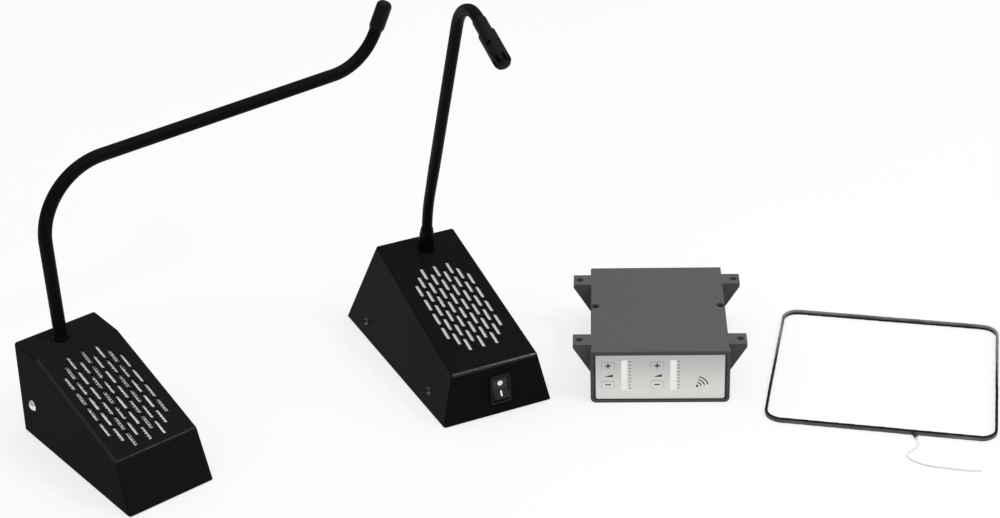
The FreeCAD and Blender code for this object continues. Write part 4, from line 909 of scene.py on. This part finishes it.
def ring_piece(name, place, outer, inner, body, material):
    """A flat ring of ink between two outlines that have the same number of points."""
    shape = bmesh.new()
    loops = [[shape.verts.new(place @ mm(x, y, z)) for x, y in outline]
             for outline, z in ((outer, INK_ROOT), (outer, INK), (inner, INK), (inner, INK_ROOT))]
    for first, second in zip(loops, loops[1:] + loops[:1]):
        add_band(shape, first, second)
    inked(name, shape, body, material)


def rounded_outline(left, right, low, high, low_radius, high_radius, count=8):
    """A rectangle with rounded corners, counted round from its lower right corner."""
    corners = [(right, low, low_radius, -90), (right, high, high_radius, 0), (left, high, high_radius, 90),
               (left, low, low_radius, 180)]
    points = []
    for x, y, radius, start in corners:
        middle_x = x - math.copysign(radius, x)
        middle_y = y + radius if y == low else y - radius
        angles = [math.radians(start + 90 * i / count) for i in range(count + 1)]
        points += [(middle_x + radius * math.cos(a), middle_y + radius * math.sin(a)) for a in angles]
    return points


def bar_outline(x, y, width, height):
    return [(x + a * width / 2, y + b * height / 2) for a, b in ((-1, -1), (1, -1), (1, 1), (-1, 1))]


def disc_outline(x, y, radius, count=32):
    angles = [2 * math.pi * i / count for i in range(count)]
    return [(x + radius * math.cos(angle), y + radius * math.sin(angle)) for angle in angles]


def plus_outline(x, y, size, stroke):
    s, w = size / 2, stroke / 2
    corners = [(-w, -s), (w, -s), (w, -w), (s, -w), (s, w), (w, w), (w, s), (-w, s), (-w, w), (-s, w),
               (-s, -w), (-w, -w)]
    return [(x + a, y + b) for a, b in corners]


def arc_outline(x, y, radius, stroke, start, end, count=16):
    """A curved stroke between two angles."""
    angles = [math.radians(start + (end - start) * i / count) for i in range(count + 1)]
    outer, inner = ([(x + reach * math.cos(angle), y + reach * math.sin(angle)) for angle in angles]
                    for reach in (radius + stroke / 2, radius - stroke / 2))
    return outer + inner[::-1]


# %% [markdown]
# The rocker's two flats meet in a ridge over its pivot. At rest the flat with the O is pressed in and lies
# parallel to the wall, and the flat with the I stands out. So each mark is drawn in the frame of its flat.

# %% Marks on the switch
SWITCH_X, SWITCH_Z = 2.3, 20.4
ROCKER_PIVOT, ROCKER_RIDGE, ROCKER_TILT = -2.0, 1.0, 11.0
MARK_O, MARK_I = disc_outline(0, 4.0, 1.9), bar_outline(0, -3.6, 1.25, 4.0)
switch_place = (SWITCH_X, STAFF_FOLD.y * SWITCH_Z / STAFF_FOLD.z, SWITCH_Z)
switch_face = face_frame(STAFF, switch_place, RIGHT, STAFF_FOLD)


def rocker_face(lean):
    """The face of the rocker that leans this far from the wall: its ridge at y = 0, before it rocks."""
    rock = Matrix.Rotation(math.radians(-ROCKER_TILT), 4, "X")
    lift = Matrix.Translation(mm(0, 0, ROCKER_PIVOT))
    ridge = Matrix.Translation(mm(0, 0, ROCKER_RIDGE)) @ Matrix.Rotation(math.radians(lean), 4, "X")
    return switch_face @ lift @ rock @ lift.inverted() @ ridge


for name, lean, outline in (("switch_mark_o", ROCKER_TILT, MARK_O), ("switch_mark_i", -ROCKER_TILT, MARK_I)):
    outline_piece(name, rocker_face(lean), [outline], "staff_switch", print_white)
print("switch marks made")

# %% [markdown]
# The amplifier's marks are printed in black on the foil. The plus and minus signs move with their keys, and
# the rest stays on the plate. A black ring round the plate's edge is painted shade for the gap round it.

# %% Marks on the amplifier's plate
PANEL_FACE, KEY_FACE = -57.4, -57.55
KEY_COLUMNS = {"a": -35.8, "b": -2.1}
KEY_ROWS = {"up": 29.3, "down": 14.0}
PLUS_SIZE, MINUS_SIZE = (3.9, 0.95), (3.8, 0.85)
# A ring of painted shade round the plate, in place of the shadow in the gap round it.
SHADE_BORDER_OUTER = rounded_outline(-45.85, 45.85, 1.65, 38.45, 2.4, 1.2)
SHADE_BORDER_INNER = rounded_outline(-44.35, 44.35, 2.4, 37.6, 1.6, 0.9)
WEDGE = [(-2.4, 20.4), (3.2, 20.2), (3.2, 22.3)]


def on_plate(depth):
    """The plane of the front plate at a depth: x across, y up, z towards the clerk."""
    return face_frame(AMPLIFIER, (0, depth, 0), RIGHT, (0, 0, 1))


def plate_mark(name, outlines, depth=PANEL_FACE, body="amplifier"):
    outline_piece(name, on_plate(depth), outlines, body, print_black)


# Painted shade: black ink where the gap round the plate lies in shadow.
ring_piece("painted_shade_border", on_plate(PANEL_FACE), SHADE_BORDER_OUTER, SHADE_BORDER_INNER, "amplifier",
           print_black)
for column, x in KEY_COLUMNS.items():
    plus = plus_outline(x, KEY_ROWS["up"], *PLUS_SIZE)
    minus = bar_outline(x, KEY_ROWS["down"], *MINUS_SIZE)
    plate_mark(f"mark_plus_{column}", [plus], KEY_FACE, f"key_{column}_up")
    plate_mark(f"mark_minus_{column}", [minus], KEY_FACE, f"key_{column}_down")
    plate_mark(f"mark_wedge_{column}", [[(x + a, z) for a, z in WEDGE]])
print("border, key marks and wedges made")

# %% [markdown]
# The ticks beside a level display are all alike and evenly spaced, so one tick is made and repeated. The
# sound-wave sign is a dot with three arcs round it.

# %% Ticks and the sound-wave sign
TICK_WIDTH, TICK_STROKE, TICK_PITCH, TICK_COUNT, TICK_LOW = 1.3, 0.55, 2.7, 9, 11.0
TICK_COLUMNS = {"a": -20.8, "b": 12.7}
WAVE_X, WAVE_Z, WAVE_STROKE, WAVE_RADII = 25.0, 12.2, 0.8, (3.2, 5.6, 8.0)
WAVE_FROM, WAVE_TO = 12, 78
WAVE_DOT = disc_outline(25.4, 12.6, 0.9, 20)


def tick_column(name, place, material):
    recipe = Recipe(name, Width=TICK_WIDTH * MM, Stroke=TICK_STROKE * MM, Ink=INK * MM, Pitch=TICK_PITCH * MM)
    tick_size = recipe.vector(recipe.size("Width"), recipe.size("Stroke"), recipe.size("Ink"))
    tick = recipe.add("GeometryNodeMeshCube", {"Size": tick_size})
    column = recipe.add("GeometryNodeMeshLine", {
        "Count": TICK_COUNT, "Offset": recipe.vector(y=recipe.size("Pitch"))})
    ticks = recipe.add("GeometryNodeInstanceOnPoints", {"Points": column, "Instance": tick})
    return recipe.made(name, ticks, material, place)


for column, x in TICK_COLUMNS.items():
    tick_place = on_plate(PANEL_FACE) @ Matrix.Translation(mm(x, TICK_LOW, INK / 2))
    ticks = tick_column(f"mark_ticks_{column}", tick_place, print_black)
    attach(ticks, "amplifier")
waves = [arc_outline(WAVE_X, WAVE_Z, radius, WAVE_STROKE, WAVE_FROM, WAVE_TO) for radius in WAVE_RADII]
plate_mark("mark_sound_waves", waves + [WAVE_DOT])
print("ticks and sound waves made")

# %% [markdown]
# ## The counter and the light
#
# The counter is one large pale sheet. It glows a little to the camera and in reflections, so that it reads
# as white, but it throws none of that glow on to the object.

# %% Counter
COUNTER_SIZE = 12.0


def counter_finish():
    finish = Finish("counter", Roughness=0.9, Specular_IOR_Level=0.0, Emission_Strength=0.72)
    finish.feed("Base Color", finish.mixed(finish.noise(300.0), (0.32, 0.32, 0.32), (0.34, 0.34, 0.34)))
    ray = finish.add("ShaderNodeLightPath")
    seen = ray.out("Is Camera Ray").maths("MAXIMUM", ray.out("Is Glossy Ray"))
    seen = seen.maths("MAXIMUM", ray.out("Is Transmission Ray"))
    finish.feed("Emission Color", finish.mixed(seen, (0, 0, 0), (1, 1, 1)))
    return finish.material


sheet = bmesh.new()
corners = bar_outline(0, 0, COUNTER_SIZE, COUNTER_SIZE)
sheet.faces.new([sheet.verts.new((x, y, 0)) for x, y in corners])
counter = object_from("counter", sheet, smooth=False)
dress(counter, counter_finish())
print("counter is", COUNTER_SIZE, "m wide")

# %% [markdown]
# The sky above the counter is a soft dome, brighter overhead, and two broad lamps give the black steel
# something to mirror. The camera sees the sky as plain white.

# %% Sky and lamps
SKY_LOW, SKY_HIGH = 0.2, 0.8


def soft_sky():
    world = bpy.data.worlds.new("soft_sky")
    bpy.context.scene.world = world
    world.use_nodes = True
    sky = Graph(world.node_tree)
    background = world.node_tree.nodes["Background"]
    background.inputs["Color"].default_value = (1.0, 1.0, 1.0, 1.0)
    height = sky.part(sky.add("ShaderNodeTexCoord").out("Generated"), "Z")
    level = sky.add("ShaderNodeMapRange", {0: height, 1: 0.0, 2: 1.0, 3: SKY_LOW, 4: SKY_HIGH})
    ray = sky.add("ShaderNodeLightPath")
    seen = ray.out("Is Camera Ray").maths("MAXIMUM", ray.out("Is Transmission Ray"))
    shown = level * (1.0 - seen) + seen
    sky.tree.links.new(shown.socket, background.inputs["Strength"])


def lamp(name, place, target, size, power):
    """A square soft box that points at the target."""
    light = bpy.data.lights.new(name, "AREA")
    light.shape = "SQUARE"
    light.size = size
    light.energy = power
    made = bpy.data.objects.new(name, light)
    made.location = place
    made.rotation_euler = (Vector(target) - Vector(place)).to_track_quat("-Z", "Y").to_euler()
    bpy.context.scene.collection.objects.link(made)


soft_sky()
lamp("key_box", place=(0.95, -0.45, 1.5), target=(-0.1, 0.0, 0.05), size=0.25, power=5.0)
lamp("overhead_box", place=(0.1, -0.25, 1.7), target=(-0.1, 0.0, 0.0), size=1.2, power=4.0)
print("sky and lamps made")
